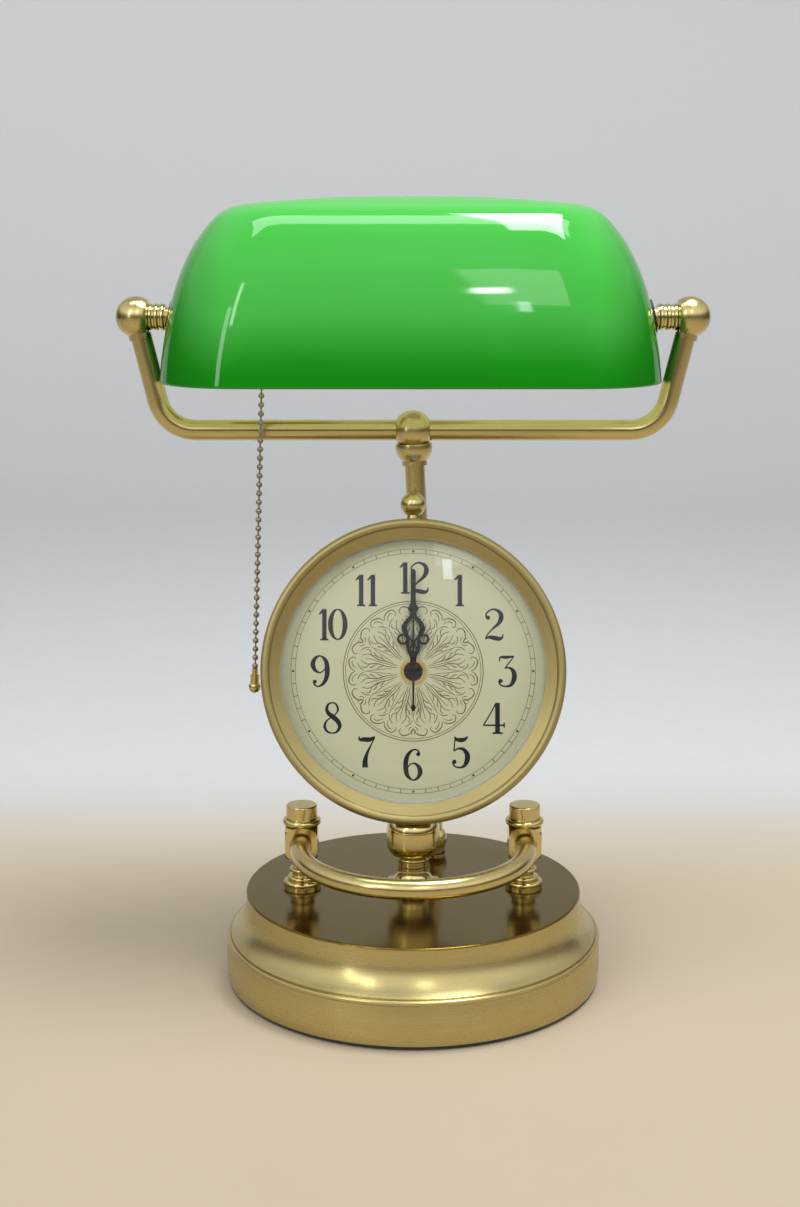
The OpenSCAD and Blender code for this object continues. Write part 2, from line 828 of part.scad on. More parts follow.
module holder_cap() {
    color("goldenrod") pivot_frame() translate([0, 0, holder_x]) difference() {
        rotate_extrude() {
            square([8, 3]);
            translate([0, 2]) square([14, 15]);
            translate([0, 4]) square([15, 13]);
            translate([14, 4]) circle(r = 1);
        }
        translate([0, 0, -1]) cylinder(r = stud_r, h = 20);
        translate([0, 0, 5]) cylinder(r = 13.6, h = 20);
    }
}

module holder_shell() {
    color("goldenrod") difference() {
        pivot_frame() translate([0, 0, shell_x]) {
            tube(16, 15.2, mouth_x - shell_x - 1);
            translate([0, 0, mouth_x - shell_x - 2]) tube(17, 15.2, 2);
            tube(16.6, 15.2, 2.4);
        }
        translate([switch_x, pole_y, pivot_z]) rotate([135, 0, 0]) cylinder(r = 5.2, h = 30);
    }
}

module holder_liner() {
    color("tan") difference() {
        pivot_frame() translate([0, 0, shell_x]) difference() {
            cylinder(r = 15, h = mouth_x - shell_x - 3);
            translate([0, 0, 14]) cylinder(r = 13.4, h = 40);
            translate([0, 0, -1]) cylinder(r = 3, h = 4);
        }
        translate([switch_x, pole_y, pivot_z]) rotate([135, 0, 0]) cylinder(r = 5.2, h = 30);
    }
}

// Pull switch: a body in the holder and an arm with a bell mouth, down and forwards
module pull_switch() {
    color("gold") difference() {
        translate([switch_x, pole_y, pivot_z]) rotate([135, 0, 0]) {
            translate([0, 0, 9]) cylinder(r = 5, h = 9.5);
            translate([0, 0, 18]) cylinder(r = 3.4, h = 6);
            translate([0, 0, 23]) sphere(r = 3.9);
        }
        translate([switch_x, switch_y, chain_top - 6]) cylinder(r = 2.3, h = 8.9);
    }
}

module bulb_cap() {
    color("silver") pivot_frame() translate([0, 0, mouth_x - 22]) rotate_extrude() {
        square([4, 27]);
        translate([0, 3]) square([9, 4]);
        translate([0, 5]) square([12.6, 22]);
        for (i = [0:4]) translate([12.6, 7 + i * 3.6]) circle(r = 0.7);
    }
}

module bulb_glass() {
    start = mouth_x + 5;
    ball_x = start + 50;
    color([1, 1, 0.95, 0.9]) pivot_frame() rotate_extrude() difference() {
        union() {
            translate([0, start]) square([13, 24]);
            polygon([[0, start + 20], [13, start + 20], [21.5, ball_x - 17.1], [0, ball_x - 17.1]]);
            intersection() {
                translate([0, ball_x]) circle(r = bulb_r);
                translate([0, start]) square([60, 100]);
            }
        }
        translate([-1, start + 1.2]) square([12.8, 22]);
        polygon([[-1, start + 21], [11.8, start + 21], [20.2, ball_x - 16.6], [-1, ball_x - 16.6]]);
        translate([0, ball_x]) circle(r = bulb_r - 1.2);
        translate([-60, -100]) square([60, 300]);
    }
}

// ---- pull chain ----------------------------------------------------------

// Children's -Z axis runs down the chain from the switch's mouth
module chain_frame() {
    translate([switch_x, switch_y, chain_top]) rotate([0, chain_lean, 0]) children();
}

// Small coupling on the switch's lever, with the barrel that the bead chain swings on
module chain_connector() {
    color("gold") {
        chain_frame() {
            translate([0, 0, -3.4]) cylinder(r = 1.2, h = 4.4);
            translate([0, 0, 1]) sphere(r = 1.5);
        }
        translate([switch_x, switch_y, chain_top - hinge_drop]) rotate([0, 90, 0])
            cylinder(r = 1.4, h = 2.6, center = true);
    }
}

module pull_chain() {
    color("gold") chain_frame() translate([0, 0, -chain_drop - bead_d / 2]) {
        for (i = [0:bead_count - 1]) translate([0, 0, -i * bead_pitch]) sphere(r = bead_d / 2, $fn = 24);
        translate([0, 0, -chain_len]) cylinder(r = 0.45, h = chain_len, $fn = 16);
    }
}

// Turned brass pull at the end of the chain
module chain_pull_end() {
    color("goldenrod") chain_frame() translate([0, 0, 0.2 - chain_drop - bead_d - chain_len]) {
        translate([0, 0, -4]) cylinder(r = 1.6, h = 4);
        translate([0, 0, -8]) cylinder(r = 2.4, h = 4.6);
        translate([0, 0, -10]) sphere(r = 3.2);
    }
}

// ---- lamp wire -----------------------------------------------------------

// From the terminal block through the base and up the pole
module pole_wire() {
    color("white") pole_frame() translate([0, 0, -14]) cylinder(r = wire_r, h = pole_top + 13);
}

// From the middle ball through the left arm and stud to the lamp holder
module yoke_wire() {
    elbow_r = 3.4;
    reach = elbow_r * tan(45 + arm_lean / 2);
    elbow = [for (a = [20 - arm_lean:20:80]) [end_ball_x - reach + elbow_r * cos(a),
        pivot_z - elbow_r + elbow_r * sin(a)]];
    up = concat([[12, yoke_z]], arm_line(reach), elbow, [[-holder_x - 8, pivot_z]]);
    color("white") swept_bar(left_line(up), wire_r, 16);
}

base_shell();
base_weight();
base_plate();
base_plate_screws();
felt_pad();
cord_grommet();
terminal_block();
base_nuts();
rail_post_left();
rail_post_right();
rail_cap_left();
rail_cap_right();
pen_rail();
rail_screws();
clock_column();
column_stud();
clock_saddle();
clock_case();
clock_bezel();
clock_glass();
dial_spacer();
dial_plate();
movement();
movement_nut();
battery();
hour_hand();
minute_hand();
second_hand();
time_set_knob();
clock_back();
back_screws();
clock_finial();
finial_nut();
pole_tube();
pole_foot_ball();
swivel_cup();
cup_set_screw();
yoke_ball();
yoke_tube();
end_ball_left();
end_ball_right();
stud_left();
stud_right();
outer_nuts();
inner_nuts();
shade_washers();
glass_shade();
holder_cap();
holder_shell();
holder_liner();
pull_switch();
bulb_cap();
bulb_glass();
chain_connector();
pull_chain();
chain_pull_end();
pole_wire();
yoke_wire();
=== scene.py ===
"""Banker desk lamp: its shade, printed dial, hands and felt, the finishes, and a plain stage."""

import json
import math

import bmesh
import bpy
from bpy.props import FloatProperty, FloatVectorProperty, IntProperty, PointerProperty
from mathutils import Matrix, Vector


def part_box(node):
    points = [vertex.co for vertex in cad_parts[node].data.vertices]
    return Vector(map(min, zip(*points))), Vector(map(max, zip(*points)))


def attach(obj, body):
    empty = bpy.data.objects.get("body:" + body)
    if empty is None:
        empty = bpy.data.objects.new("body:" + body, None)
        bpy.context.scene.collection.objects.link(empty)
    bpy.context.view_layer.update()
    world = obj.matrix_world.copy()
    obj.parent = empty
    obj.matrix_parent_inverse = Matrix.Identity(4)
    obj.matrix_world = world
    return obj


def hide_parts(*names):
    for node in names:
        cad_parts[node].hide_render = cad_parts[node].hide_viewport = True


bl_info = {
    "name": "Banker Desk Lamp",
    "version": (1, 0, 0),
    "blender": (4, 5, 0),
    "location": "View3D > Sidebar > Desk Lamp",
    "description": "Builds the shade, dial and hands of a banker desk lamp and finishes its metal",
    "category": "Object",
}

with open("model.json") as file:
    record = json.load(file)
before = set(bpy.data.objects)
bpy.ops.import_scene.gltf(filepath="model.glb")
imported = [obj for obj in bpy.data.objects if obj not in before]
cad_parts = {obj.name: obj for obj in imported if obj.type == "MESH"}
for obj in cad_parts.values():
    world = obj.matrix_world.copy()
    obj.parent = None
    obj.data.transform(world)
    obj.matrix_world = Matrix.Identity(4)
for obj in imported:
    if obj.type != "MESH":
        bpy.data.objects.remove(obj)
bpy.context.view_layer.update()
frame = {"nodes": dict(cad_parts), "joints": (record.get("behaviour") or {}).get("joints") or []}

MM = 0.001
JOINTS = {j["name"]: j for j in frame["joints"]}
DIAL_CENTRE = Vector(JOINTS["minute_turn"]["pos_m"])
DIAL_DEPTH = Vector(JOINTS["minute_turn"]["axis"]).normalized()
DIAL_RIGHT = Vector((1.0, 0.0, 0.0))
DIAL_UP = DIAL_RIGHT.cross(DIAL_DEPTH).normalized()
PIVOT = Vector(JOINTS["shade_tilt"]["pos_m"])
SHADE_LOW, SHADE_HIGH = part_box("glass_shade")
BASE_LOW, BASE_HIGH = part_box("base_shell")
FELT_LOW, FELT_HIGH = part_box("felt_pad")


# ---- sizes and colours ----------------------------------------------------


def measure(name, description, default, low, high):
    """A length setting in metres."""
    return FloatProperty(name=name, description=description, default=default, min=low, max=high,
                         unit="LENGTH")


def swatch(name, description, default):
    """A colour setting in linear light."""
    return FloatVectorProperty(name=name, description=description, subtype="COLOR",
                               default=default, min=0.0, max=1.0)


class LampSizes(bpy.types.PropertyGroup):
    """Sizes of the pieces that are modelled here."""

    glass_wall: measure("Glass wall", "Thickness of the shade's glass", 0.0035, 0.002, 0.005)
    corner_steps: IntProperty(
        name="Corner steps", description="Points round each corner of the shade's plan",
        default=10, min=4, max=24,
    )
    numeral_height: measure("Numeral height", "Height of the dial's numbers", 0.0164, 0.01, 0.02)
    numeral_radius: measure("Numeral circle", "Radius of the circle through the numbers' middles",
                            0.0481, 0.04, 0.055)
    track_radius: measure("Minute track", "Radius of the middle of the minute track",
                          0.0618, 0.055, 0.066)
    medallion_radius: measure("Medallion", "Radius of the ornament in the middle of the dial",
                              0.0361, 0.03, 0.04)
    print_height: measure("Print height", "Height of the printed ink over the dial",
                          0.00004, 0.00001, 0.0001)


class LampColours(bpy.types.PropertyGroup):
    """Colours of the finishes, in linear light."""

    brass: swatch("Brass", "Lacquered brass", (0.61, 0.5, 0.22))
    brass_dull: swatch("Dull brass", "Brass in its duller patches", (0.5, 0.4, 0.165))
    shade_green: swatch("Shade green", "Cased green glass", (0.008, 0.44, 0.006))
    opal: swatch("Opal", "White glass on the inside of the shade", (0.83, 0.84, 0.8))
    dial_ivory: swatch("Dial ivory", "Card of the dial", (0.76, 0.76, 0.52))
    ink: swatch("Ink", "Numbers of the dial", (0.012, 0.013, 0.02))
    ornament: swatch("Ornament ink", "Brown line ornament of the dial", (0.16, 0.11, 0.045))
    floor: swatch("Floor", "Plain pale floor", (0.5, 0.41, 0.3))
    backdrop: swatch("Backdrop", "Plain pale backdrop behind the floor", (0.6, 0.6, 0.605))


def sizes():
    return bpy.context.scene.lamp_sizes


def colours():
    return bpy.context.scene.lamp_colours


# ---- modelling helpers ----------------------------------------------------


def deselect():
    if bpy.context.object and bpy.context.object.mode != "OBJECT":
        bpy.ops.object.mode_set(mode="OBJECT")
    bpy.ops.object.select_all(action="DESELECT")


def pick(piece):
    """Selects one object and makes it active."""
    deselect()
    piece.select_set(True)
    bpy.context.view_layer.objects.active = piece
    return piece


def named(name):
    """Names the object that an operator has just added."""
    piece = bpy.context.object
    piece.name = name
    piece.data.name = name
    return piece


def settle(piece):
    """Applies the piece's place, so that its object is at the origin."""
    pick(piece)
    bpy.ops.object.transform_apply(location=True, rotation=True, scale=True)
    return piece


def modified(piece, kind, **settings):
    """Adds a modifier and applies it."""
    pick(piece)
    modifier = piece.modifiers.new(kind.title(), kind)
    for key, value in settings.items():
        setattr(modifier, key, value)
    bpy.ops.object.modifier_apply(modifier=modifier.name)
    return piece


def smooth(piece, degrees=35.0):
    pick(piece)
    bpy.ops.object.shade_smooth_by_angle(angle=math.radians(degrees))
    return piece


def finish_piece(piece, body, material, replaced=()):
    """Gives a finished piece its material and body, and hides the CAD nodes it stands for."""
    if not piece.data.materials:
        piece.data.materials.append(material)
    piece.data.materials[0] = material
    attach(piece, body)
    if replaced:
        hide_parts(*replaced)
    return piece


def turned(name, profile, place, axis=Vector((0, 0, 1)), steps=96):
    """Spins a profile of (radius, height) pairs in metres into a closed turned piece."""
    mesh = bpy.data.meshes.new(name)
    piece = bpy.data.objects.new(name, mesh)
    bpy.context.scene.collection.objects.link(piece)
    points = [(r, 0.0, z) for r, z in profile]
    mesh.from_pydata(points, [(i, i + 1) for i in range(len(points) - 1)], [])
    pick(piece)
    bpy.ops.object.mode_set(mode="EDIT")
    bpy.ops.mesh.select_all(action="SELECT")
    bpy.ops.mesh.spin(steps=steps, angle=2 * math.pi, center=(0, 0, 0), axis=(0, 0, 1))
    bpy.ops.mesh.select_all(action="SELECT")
    bpy.ops.mesh.remove_doubles(threshold=1e-6)
    bpy.ops.mesh.normals_make_consistent(inside=False)
    bpy.ops.object.mode_set(mode="OBJECT")
    turn = Vector((0, 0, 1)).rotation_difference(axis).to_matrix().to_4x4()
    mesh.transform(Matrix.Translation(place) @ turn)
    return piece


# ---- flat line work on the dial and hands ---------------------------------


def dial_point(right, up, depth):
    """A point of the clock's own frame, in metres."""
    return DIAL_CENTRE + right * DIAL_RIGHT + up * DIAL_UP + depth * DIAL_DEPTH


def front_of(node):
    """Depth of a CAD node's front in the clock's own frame."""
    verts = frame["nodes"][node].data.vertices
    return min((v.co - DIAL_CENTRE).dot(DIAL_DEPTH) for v in verts)


def smooth_line(points, steps=6, closed=False):
    """Points of (x, y, width) joined by a smooth line through them."""
    count = len(points)
    spans = count if closed else count - 1
    line = []
    for i in range(spans):
        if closed:
            ring = [points[(i + k) % count] for k in (-1, 0, 1, 2)]
        else:
            ring = [points[min(max(i + k, 0), count - 1)] for k in (-1, 0, 1, 2)]
        for step in range(steps):
            t = step / steps
            line.append(tuple(
                0.5 * (2 * b + (c - a) * t + (2 * a - 5 * b + 4 * c - d) * t * t
                       + (3 * b - 3 * c + d - a) * t ** 3)
                for a, b, c, d in zip(*ring)
            ))
    if not closed:
        line.append(tuple(points[-1]))
    return line


class FlatWork:
    """Collects flat strokes in the clock's frame, all at one depth."""

    def __init__(self, name, depth, scale=1.0):
        self.name = name
        self.depth = depth
        self.scale = scale
        self.mesh = bmesh.new()

    def vertex(self, x, y):
        return self.mesh.verts.new(dial_point(x * self.scale, y * self.scale, self.depth))

    def band(self, line, closed=False):
        """Fills a line of (x, y, width) points to its width."""
        count = len(line)
        sides = []
        for i, (x, y, width) in enumerate(line):
            if closed:
                before, after = line[i - 1], line[(i + 1) % count]
            else:
                before, after = line[max(i - 1, 0)], line[min(i + 1, count - 1)]
            dx, dy = after[0] - before[0], after[1] - before[1]
            length = math.hypot(dx, dy) or 1.0
            nx, ny = -dy / length * width / 2, dx / length * width / 2
            sides.append((self.vertex(x + nx, y + ny), self.vertex(x - nx, y - ny)))
        for i in range(count if closed else count - 1):
            a, b = sides[i], sides[(i + 1) % count]
            self.mesh.faces.new((a[0], a[1], b[1], b[0]))

    def stroke(self, points, steps=6, closed=False):
        self.band(smooth_line(points, steps, closed), closed)

    def straight(self, *points):
        self.band(list(points))

    def disc(self, x, y, radius, count=24):
        ring = [
            self.vertex(x + radius * math.cos(a), y + radius * math.sin(a))
            for a in (2 * math.pi * k / count for k in range(count))
        ]
        self.mesh.faces.new(ring)

    def ring(self, x, y, radius, width, count=32):
        self.band([
            (x + radius * math.cos(a), y + radius * math.sin(a), width)
            for a in (2 * math.pi * k / count for k in range(count))
        ], closed=True)

    def outline(self, points):
        self.mesh.faces.new([self.vertex(x, y) for x, y in points])

    def made(self, thickness, bevel=0.0):
        """The collected work as one object, thickened away from the front."""
        mesh = bpy.data.meshes.new(self.name)
        front = -DIAL_DEPTH
        self.mesh.faces.ensure_lookup_table()
        self.mesh.normal_update()
        for face in self.mesh.faces:
            if face.normal.dot(front) < 0:
                face.normal_flip()
        self.mesh.to_mesh(mesh)
        self.mesh.free()
        piece = bpy.data.objects.new(self.name, mesh)
        bpy.context.scene.collection.objects.link(piece)
        modified(piece, "SOLIDIFY", thickness=thickness, offset=-1.0)
        if bevel:
            modified(piece, "BEVEL", width=bevel, segments=2, limit_method="ANGLE")
        return piece


# Digits drawn in heights of a number, x from the middle and y up from the foot: balls by place and
# radius, strokes and closed loops by place and width, and oval rings by middle, half width, half
# height and the widths of their thick and thin sides. A 9 is the 6 turned over.
GLYPHS = {
    "0": {"rings": [(0.0, 0.5, 0.205, 0.47, 0.13, 0.036)]},
    "1": {
        "strokes": [
            [(0.0, 0.03, 0.125), (0.0, 0.5, 0.12), (0.0, 0.985, 0.125)],
            [(-0.145, 0.82, 0.03), (-0.1, 0.87, 0.06), (-0.03, 0.95, 0.06)],
            [(-0.115, 0.02, 0.04), (0.0, 0.03, 0.06), (0.115, 0.02, 0.04)],
        ],
    },
    "2": {
        "balls": [(-0.165, 0.71, 0.068)],
        "strokes": [
            [(-0.21, 0.72, 0.05), (-0.2, 0.86, 0.045), (-0.03, 0.975, 0.05), (0.15, 0.89, 0.1),
             (0.195, 0.72, 0.135), (0.13, 0.54, 0.1), (-0.04, 0.36, 0.05), (-0.18, 0.18, 0.035),
             (-0.235, 0.03, 0.035)],
            [(-0.235, 0.04, 0.03), (-0.14, 0.1, 0.08), (0.0, 0.075, 0.12), (0.14, 0.05, 0.11),
             (0.22, 0.09, 0.06), (0.245, 0.2, 0.025)],
        ],
    },
    "3": {
        "balls": [(-0.165, 0.19, 0.066)],
        "strokes": [
            [(-0.2, 0.8, 0.025), (-0.17, 0.93, 0.05), (0.0, 0.935, 0.09), (0.2, 0.965, 0.035)],
            [(0.2, 0.965, 0.03), (0.08, 0.78, 0.035), (-0.05, 0.59, 0.035)],
            [(-0.05, 0.59, 0.03), (0.08, 0.6, 0.06), (0.19, 0.48, 0.12), (0.205, 0.27, 0.135),
             (0.12, 0.07, 0.09), (-0.03, 0.02, 0.045), (-0.17, 0.07, 0.045), (-0.215, 0.19, 0.04)],
        ],
    },
    "4": {
        "strokes": [
            [(0.09, 0.97, 0.13), (0.09, 0.5, 0.13), (0.09, 0.03, 0.13)],
            [(0.06, 0.98, 0.035), (-0.12, 0.6, 0.035), (-0.29, 0.28, 0.035)],
            [(-0.3, 0.27, 0.045), (0.0, 0.27, 0.045), (0.29, 0.27, 0.045)],
            [(0.28, 0.19, 0.02), (0.265, 0.27, 0.05), (0.28, 0.36, 0.02)],
            [(-0.05, 0.02, 0.04), (0.09, 0.03, 0.06), (0.24, 0.02, 0.04)],
        ],
    },
    "5": {
        "balls": [(-0.155, 0.2, 0.068)],
        "strokes": [
            [(-0.15, 0.99, 0.03), (-0.09, 0.9, 0.09), (0.05, 0.88, 0.12), (0.15, 0.92, 0.08),
             (0.21, 1.0, 0.025)],
            [(-0.13, 0.95, 0.035), (-0.15, 0.75, 0.035), (-0.165, 0.53, 0.035)],
            [(-0.165, 0.53, 0.03), (-0.06, 0.61, 0.05), (0.09, 0.59, 0.09), (0.195, 0.43, 0.135),
             (0.19, 0.23, 0.135), (0.1, 0.06, 0.08), (-0.04, 0.02, 0.045), (-0.165, 0.08, 0.045),
             (-0.205, 0.2, 0.035)],
        ],
    },
    "6": {
        "balls": [(0.135, 0.83, 0.062)],
        "strokes": [
            [(0.175, 0.83, 0.04), (0.13, 0.94, 0.045), (0.02, 0.975, 0.045), (-0.11, 0.87, 0.09),
             (-0.19, 0.67, 0.125), (-0.205, 0.42, 0.135), (-0.16, 0.17, 0.11), (-0.02, 0.025, 0.045),
             (0.12, 0.09, 0.085), (0.19, 0.27, 0.13), (0.14, 0.45, 0.1), (0.02, 0.545, 0.045),
             (-0.1, 0.49, 0.035), (-0.16, 0.38, 0.03)],
        ],
    },
    "7": {
        "strokes": [
            [(-0.2, 1.0, 0.025), (-0.185, 0.9, 0.07), (-0.06, 0.9, 0.125), (0.1, 0.9, 0.12),
             (0.23, 0.99, 0.035)],
            [(0.23, 0.98, 0.035), (0.13, 0.74, 0.04), (0.02, 0.47, 0.08), (-0.035, 0.22, 0.135),
             (-0.03, 0.02, 0.155)],
        ],
    },
    "8": {
        "loops": [
            [(-0.15, 0.78, 0.09), (-0.1, 0.64, 0.11), (0.0, 0.55, 0.13), (0.14, 0.41, 0.13),
             (0.205, 0.24, 0.1), (0.13, 0.07, 0.06), (0.0, 0.025, 0.04), (-0.14, 0.08, 0.06),
             (-0.205, 0.24, 0.075), (-0.15, 0.41, 0.045), (0.0, 0.535, 0.035), (0.12, 0.66, 0.04),
             (0.155, 0.79, 0.06), (0.1, 0.93, 0.05), (0.0, 0.975, 0.04), (-0.11, 0.92, 0.06)],
        ],
    },
}


GLYPH_STRETCH = 1.15


def glyph(work, digit, x0, y0, height):
    """Draws one digit with its middle at x0, y0."""
    shape, turn = (GLYPHS["6"], -1.0) if digit == "9" else (GLYPHS[digit], 1.0)

    def at(x, y):
        return x0 + turn * x * height * GLYPH_STRETCH, y0 + turn * (y - 0.5) * height

    for x, y, radius in shape.get("balls", []):
        work.disc(*at(x, y), radius * height, 16)
    for key in ("strokes", "loops"):
        for points in shape.get(key, []):
            line = [(*at(x, y), w * height * GLYPH_STRETCH) for x, y, w in points]
            work.stroke(line, closed=key == "loops")
    for x, y, rx, ry, thick, thin in shape.get("rings", []):
        line = []
        for k in range(40):
            a = 2 * math.pi * k / 40
            width = thin + (thick - thin) * abs(math.cos(a)) ** 1.5
            line.append((*at(x + (rx - thick / 2 + 0.06) * math.cos(a), y + ry * math.sin(a)),
                         width * height * 1.2))
        work.band(line, closed=True)


def on_clock(radius, minutes):
    """Place on the dial at a radius, at a number of minutes past twelve."""
    a = minutes * math.pi / 30
    return radius * math.sin(a), radius * math.cos(a)


# ---- shader helpers -------------------------------------------------------


class Shader:
    """A material's node tree with short ways to add and link nodes."""

    def __init__(self, tree):
        self.tree = tree
        self.nodes = tree.nodes
        self.x = -1400

    def add(self, kind, inputs=(), **settings):
        node = self.nodes.new(kind)
        node.location = (self.x, 0)
        self.x += 180
        for key, value in settings.items():
            setattr(node, key, value)
        for key, value in dict(inputs).items():
            self.put(node.inputs[key], value)
        return node

    def put(self, socket, value):
        if isinstance(value, bpy.types.NodeSocket):
            self.tree.links.new(value, socket)
        elif isinstance(value, bpy.types.Node):
            self.tree.links.new(value.outputs[0], socket)
        else:
            socket.default_value = value

    def math(self, operation, a, b=0.0, clamp=False):
        return self.add("ShaderNodeMath", {0: a, 1: b}, operation=operation, use_clamp=clamp)

    def mix(self, share, a, b, kind="RGBA"):
        """A colour, or another kind of value, between a and b."""
        inputs = {"Factor": share, "A": a, "B": b}
        return self.add("ShaderNodeMix", inputs, data_type=kind).outputs["Result"]

    def noise(self, vector, scale, detail=2.0, roughness=0.5, distortion=0.0):
        """A value of soft noise over a vector."""
        return self.add("ShaderNodeTexNoise", {
            "Vector": vector, "Scale": scale, "Detail": detail, "Roughness": roughness,
            "Distortion": distortion,
        }).outputs[0]

    def bump(self, height, strength, distance):
        """The normal that a height raises."""
        return self.add("ShaderNodeBump", {
            "Height": height, "Strength": strength, "Distance": distance,
        })

    def ramp(self, share, *stops):
        node = self.add("ShaderNodeValToRGB", {0: share})
        elements = node.color_ramp.elements
        while len(elements) < len(stops):
            elements.new(0.5)
        for element, (at, value) in zip(elements, stops):
            element.position = at
            element.color = value if len(value) == 4 else (*value, 1.0)
        return node.outputs["Color"]

    def parts(self, vector):
        """The three parts of a vector."""
        return self.add("ShaderNodeSeparateXYZ", {0: vector}).outputs

    def radius(self, parts):
        """Distance from the Z axis."""
        squares = [self.math("MULTIPLY", parts[k], parts[k]) for k in (0, 1)]
        return self.math("SQRT", self.math("ADD", *squares))

    def scaled(self, colour, scale):
        """A colour made lighter or darker by a value."""
        node = self.add("ShaderNodeVectorMath", {0: colour}, operation="SCALE")
        self.put(node.inputs["Scale"], scale)
        return node.outputs[0]

    def span(self, value, low, high, to_low, to_high):
        """Maps a value from one range to another, held inside it."""
        return self.add("ShaderNodeMapRange", {
            "Value": value, "From Min": low, "From Max": high, "To Min": to_low, "To Max": to_high,
        }).outputs["Result"]


def colour4(value, gain=1.0):
    """An opaque colour, made lighter or darker by a gain."""
    return (*(c * gain for c in value[:3]), 1.0)


def new_group(name, inputs, outputs):
    """A shader node group with named sockets: its tree helper, its input and output nodes."""
    tree = bpy.data.node_groups.new(name, "ShaderNodeTree")
    for kind, label, default in inputs:
        socket = tree.interface.new_socket(label, in_out="INPUT", socket_type=kind)
        if default is not None:
            socket.default_value = default
    for kind, label in outputs:
        tree.interface.new_socket(label, in_out="OUTPUT", socket_type=kind)
    shader = Shader(tree)
    return shader, shader.add("NodeGroupInput"), shader.add("NodeGroupOutput")


def grain_group(name, size, amount, depth):
    """A group with inputs for a grain's size and depth, and outputs for its value and normal."""
    return new_group(name, [
        ("NodeSocketVector", "Vector", None), ("NodeSocketFloat", size, amount),
        ("NodeSocketFloat", "Depth", depth),
    ], [("NodeSocketFloat", "Grain"), ("NodeSocketVector", "Normal")])


def grain_out(shader, inside, out, noise, distance):
    """Sends a noise out of its group as a value, and as the normal that it raises."""
    shader.put(out.inputs["Grain"], noise)
    shader.put(out.inputs["Normal"], shader.bump(noise, inside.outputs["Depth"], distance))
    return shader.tree


def group_turned_grain():
    """Fine lines round the Z axis of its vector, as a lathe or a polishing wheel leaves them."""
    shader, inside, out = grain_group("Turned Grain", "Lines", 2200.0, 0.25)
    parts = shader.parts(inside.outputs["Vector"])
    radius = shader.radius(parts)
    safe = shader.math("MAXIMUM", radius, 1e-5)
    vector = shader.add("ShaderNodeCombineXYZ", {
        0: shader.math("DIVIDE", parts[0], safe),
        1: shader.math("DIVIDE", parts[1], safe),
        2: shader.math("MULTIPLY", parts[2], inside.outputs["Lines"]),
    })
    noise = shader.add("ShaderNodeTexNoise", {
        "Vector": vector, "W": shader.math("MULTIPLY", radius, inside.outputs["Lines"]),
        "Scale": 1.0, "Detail": 3.0, "Roughness": 0.65,
    }, noise_dimensions="4D").outputs[0]
    return grain_out(shader, inside, out, noise, 0.0002)


def group_straight_grain():
    """Fine lines along the X axis of its vector, as a brush or a belt leaves them."""
    shader, inside, out = grain_group("Straight Grain", "Lines", 1800.0, 0.25)
    parts = shader.parts(inside.outputs["Vector"])
    along = (22.0, inside.outputs["Lines"], inside.outputs["Lines"])
    vector = shader.add("ShaderNodeCombineXYZ", {
        k: shader.math("MULTIPLY", parts[k], along[k]) for k in range(3)
    })
    return grain_out(shader, inside, out, shader.noise(vector, 1.0, 3.0, 0.6), 0.0002)


def group_patina():
    """Soft patches and small specks of tarnish, from 0 where clean to 1 where dull."""
    shader, inside, out = new_group("Patina", [
        ("NodeSocketVector", "Vector", None), ("NodeSocketFloat", "Patches", 26.0),
        ("NodeSocketFloat", "Specks", 900.0),
    ], [("NodeSocketFloat", "Patch"), ("NodeSocketFloat", "Speck")])
    vector = inside.outputs["Vector"]
    patch = shader.noise(vector, inside.outputs["Patches"], 5.0, 0.6, 0.4)
    speck = shader.noise(vector, inside.outputs["Specks"])
    shader.put(out.inputs["Patch"], shader.span(patch, 0.35, 0.7, 0.0, 1.0))
    shader.put(out.inputs["Speck"], shader.span(speck, 0.66, 0.78, 0.0, 1.0))
    return shader.tree


def group_moulded():
    """Fine grain of moulded plastic or rubber: a value and a normal."""
    shader, inside, out = grain_group("Moulded Grain", "Size", 1600.0, 0.2)
    noise = shader.noise(inside.outputs["Vector"], inside.outputs["Size"], 3.0, 0.7)
    return grain_out(shader, inside, out, noise, 0.0003)


GROUP_MAKERS = {
    "turned": group_turned_grain, "straight": group_straight_grain,
    "patina": group_patina, "moulded": group_moulded,
}
GROUPS = {}
MATERIALS = {}


def group(kind):
    """Makes each shader node group once."""
    if kind not in GROUPS:
        GROUPS[kind] = GROUP_MAKERS[kind]()
    return GROUPS[kind]


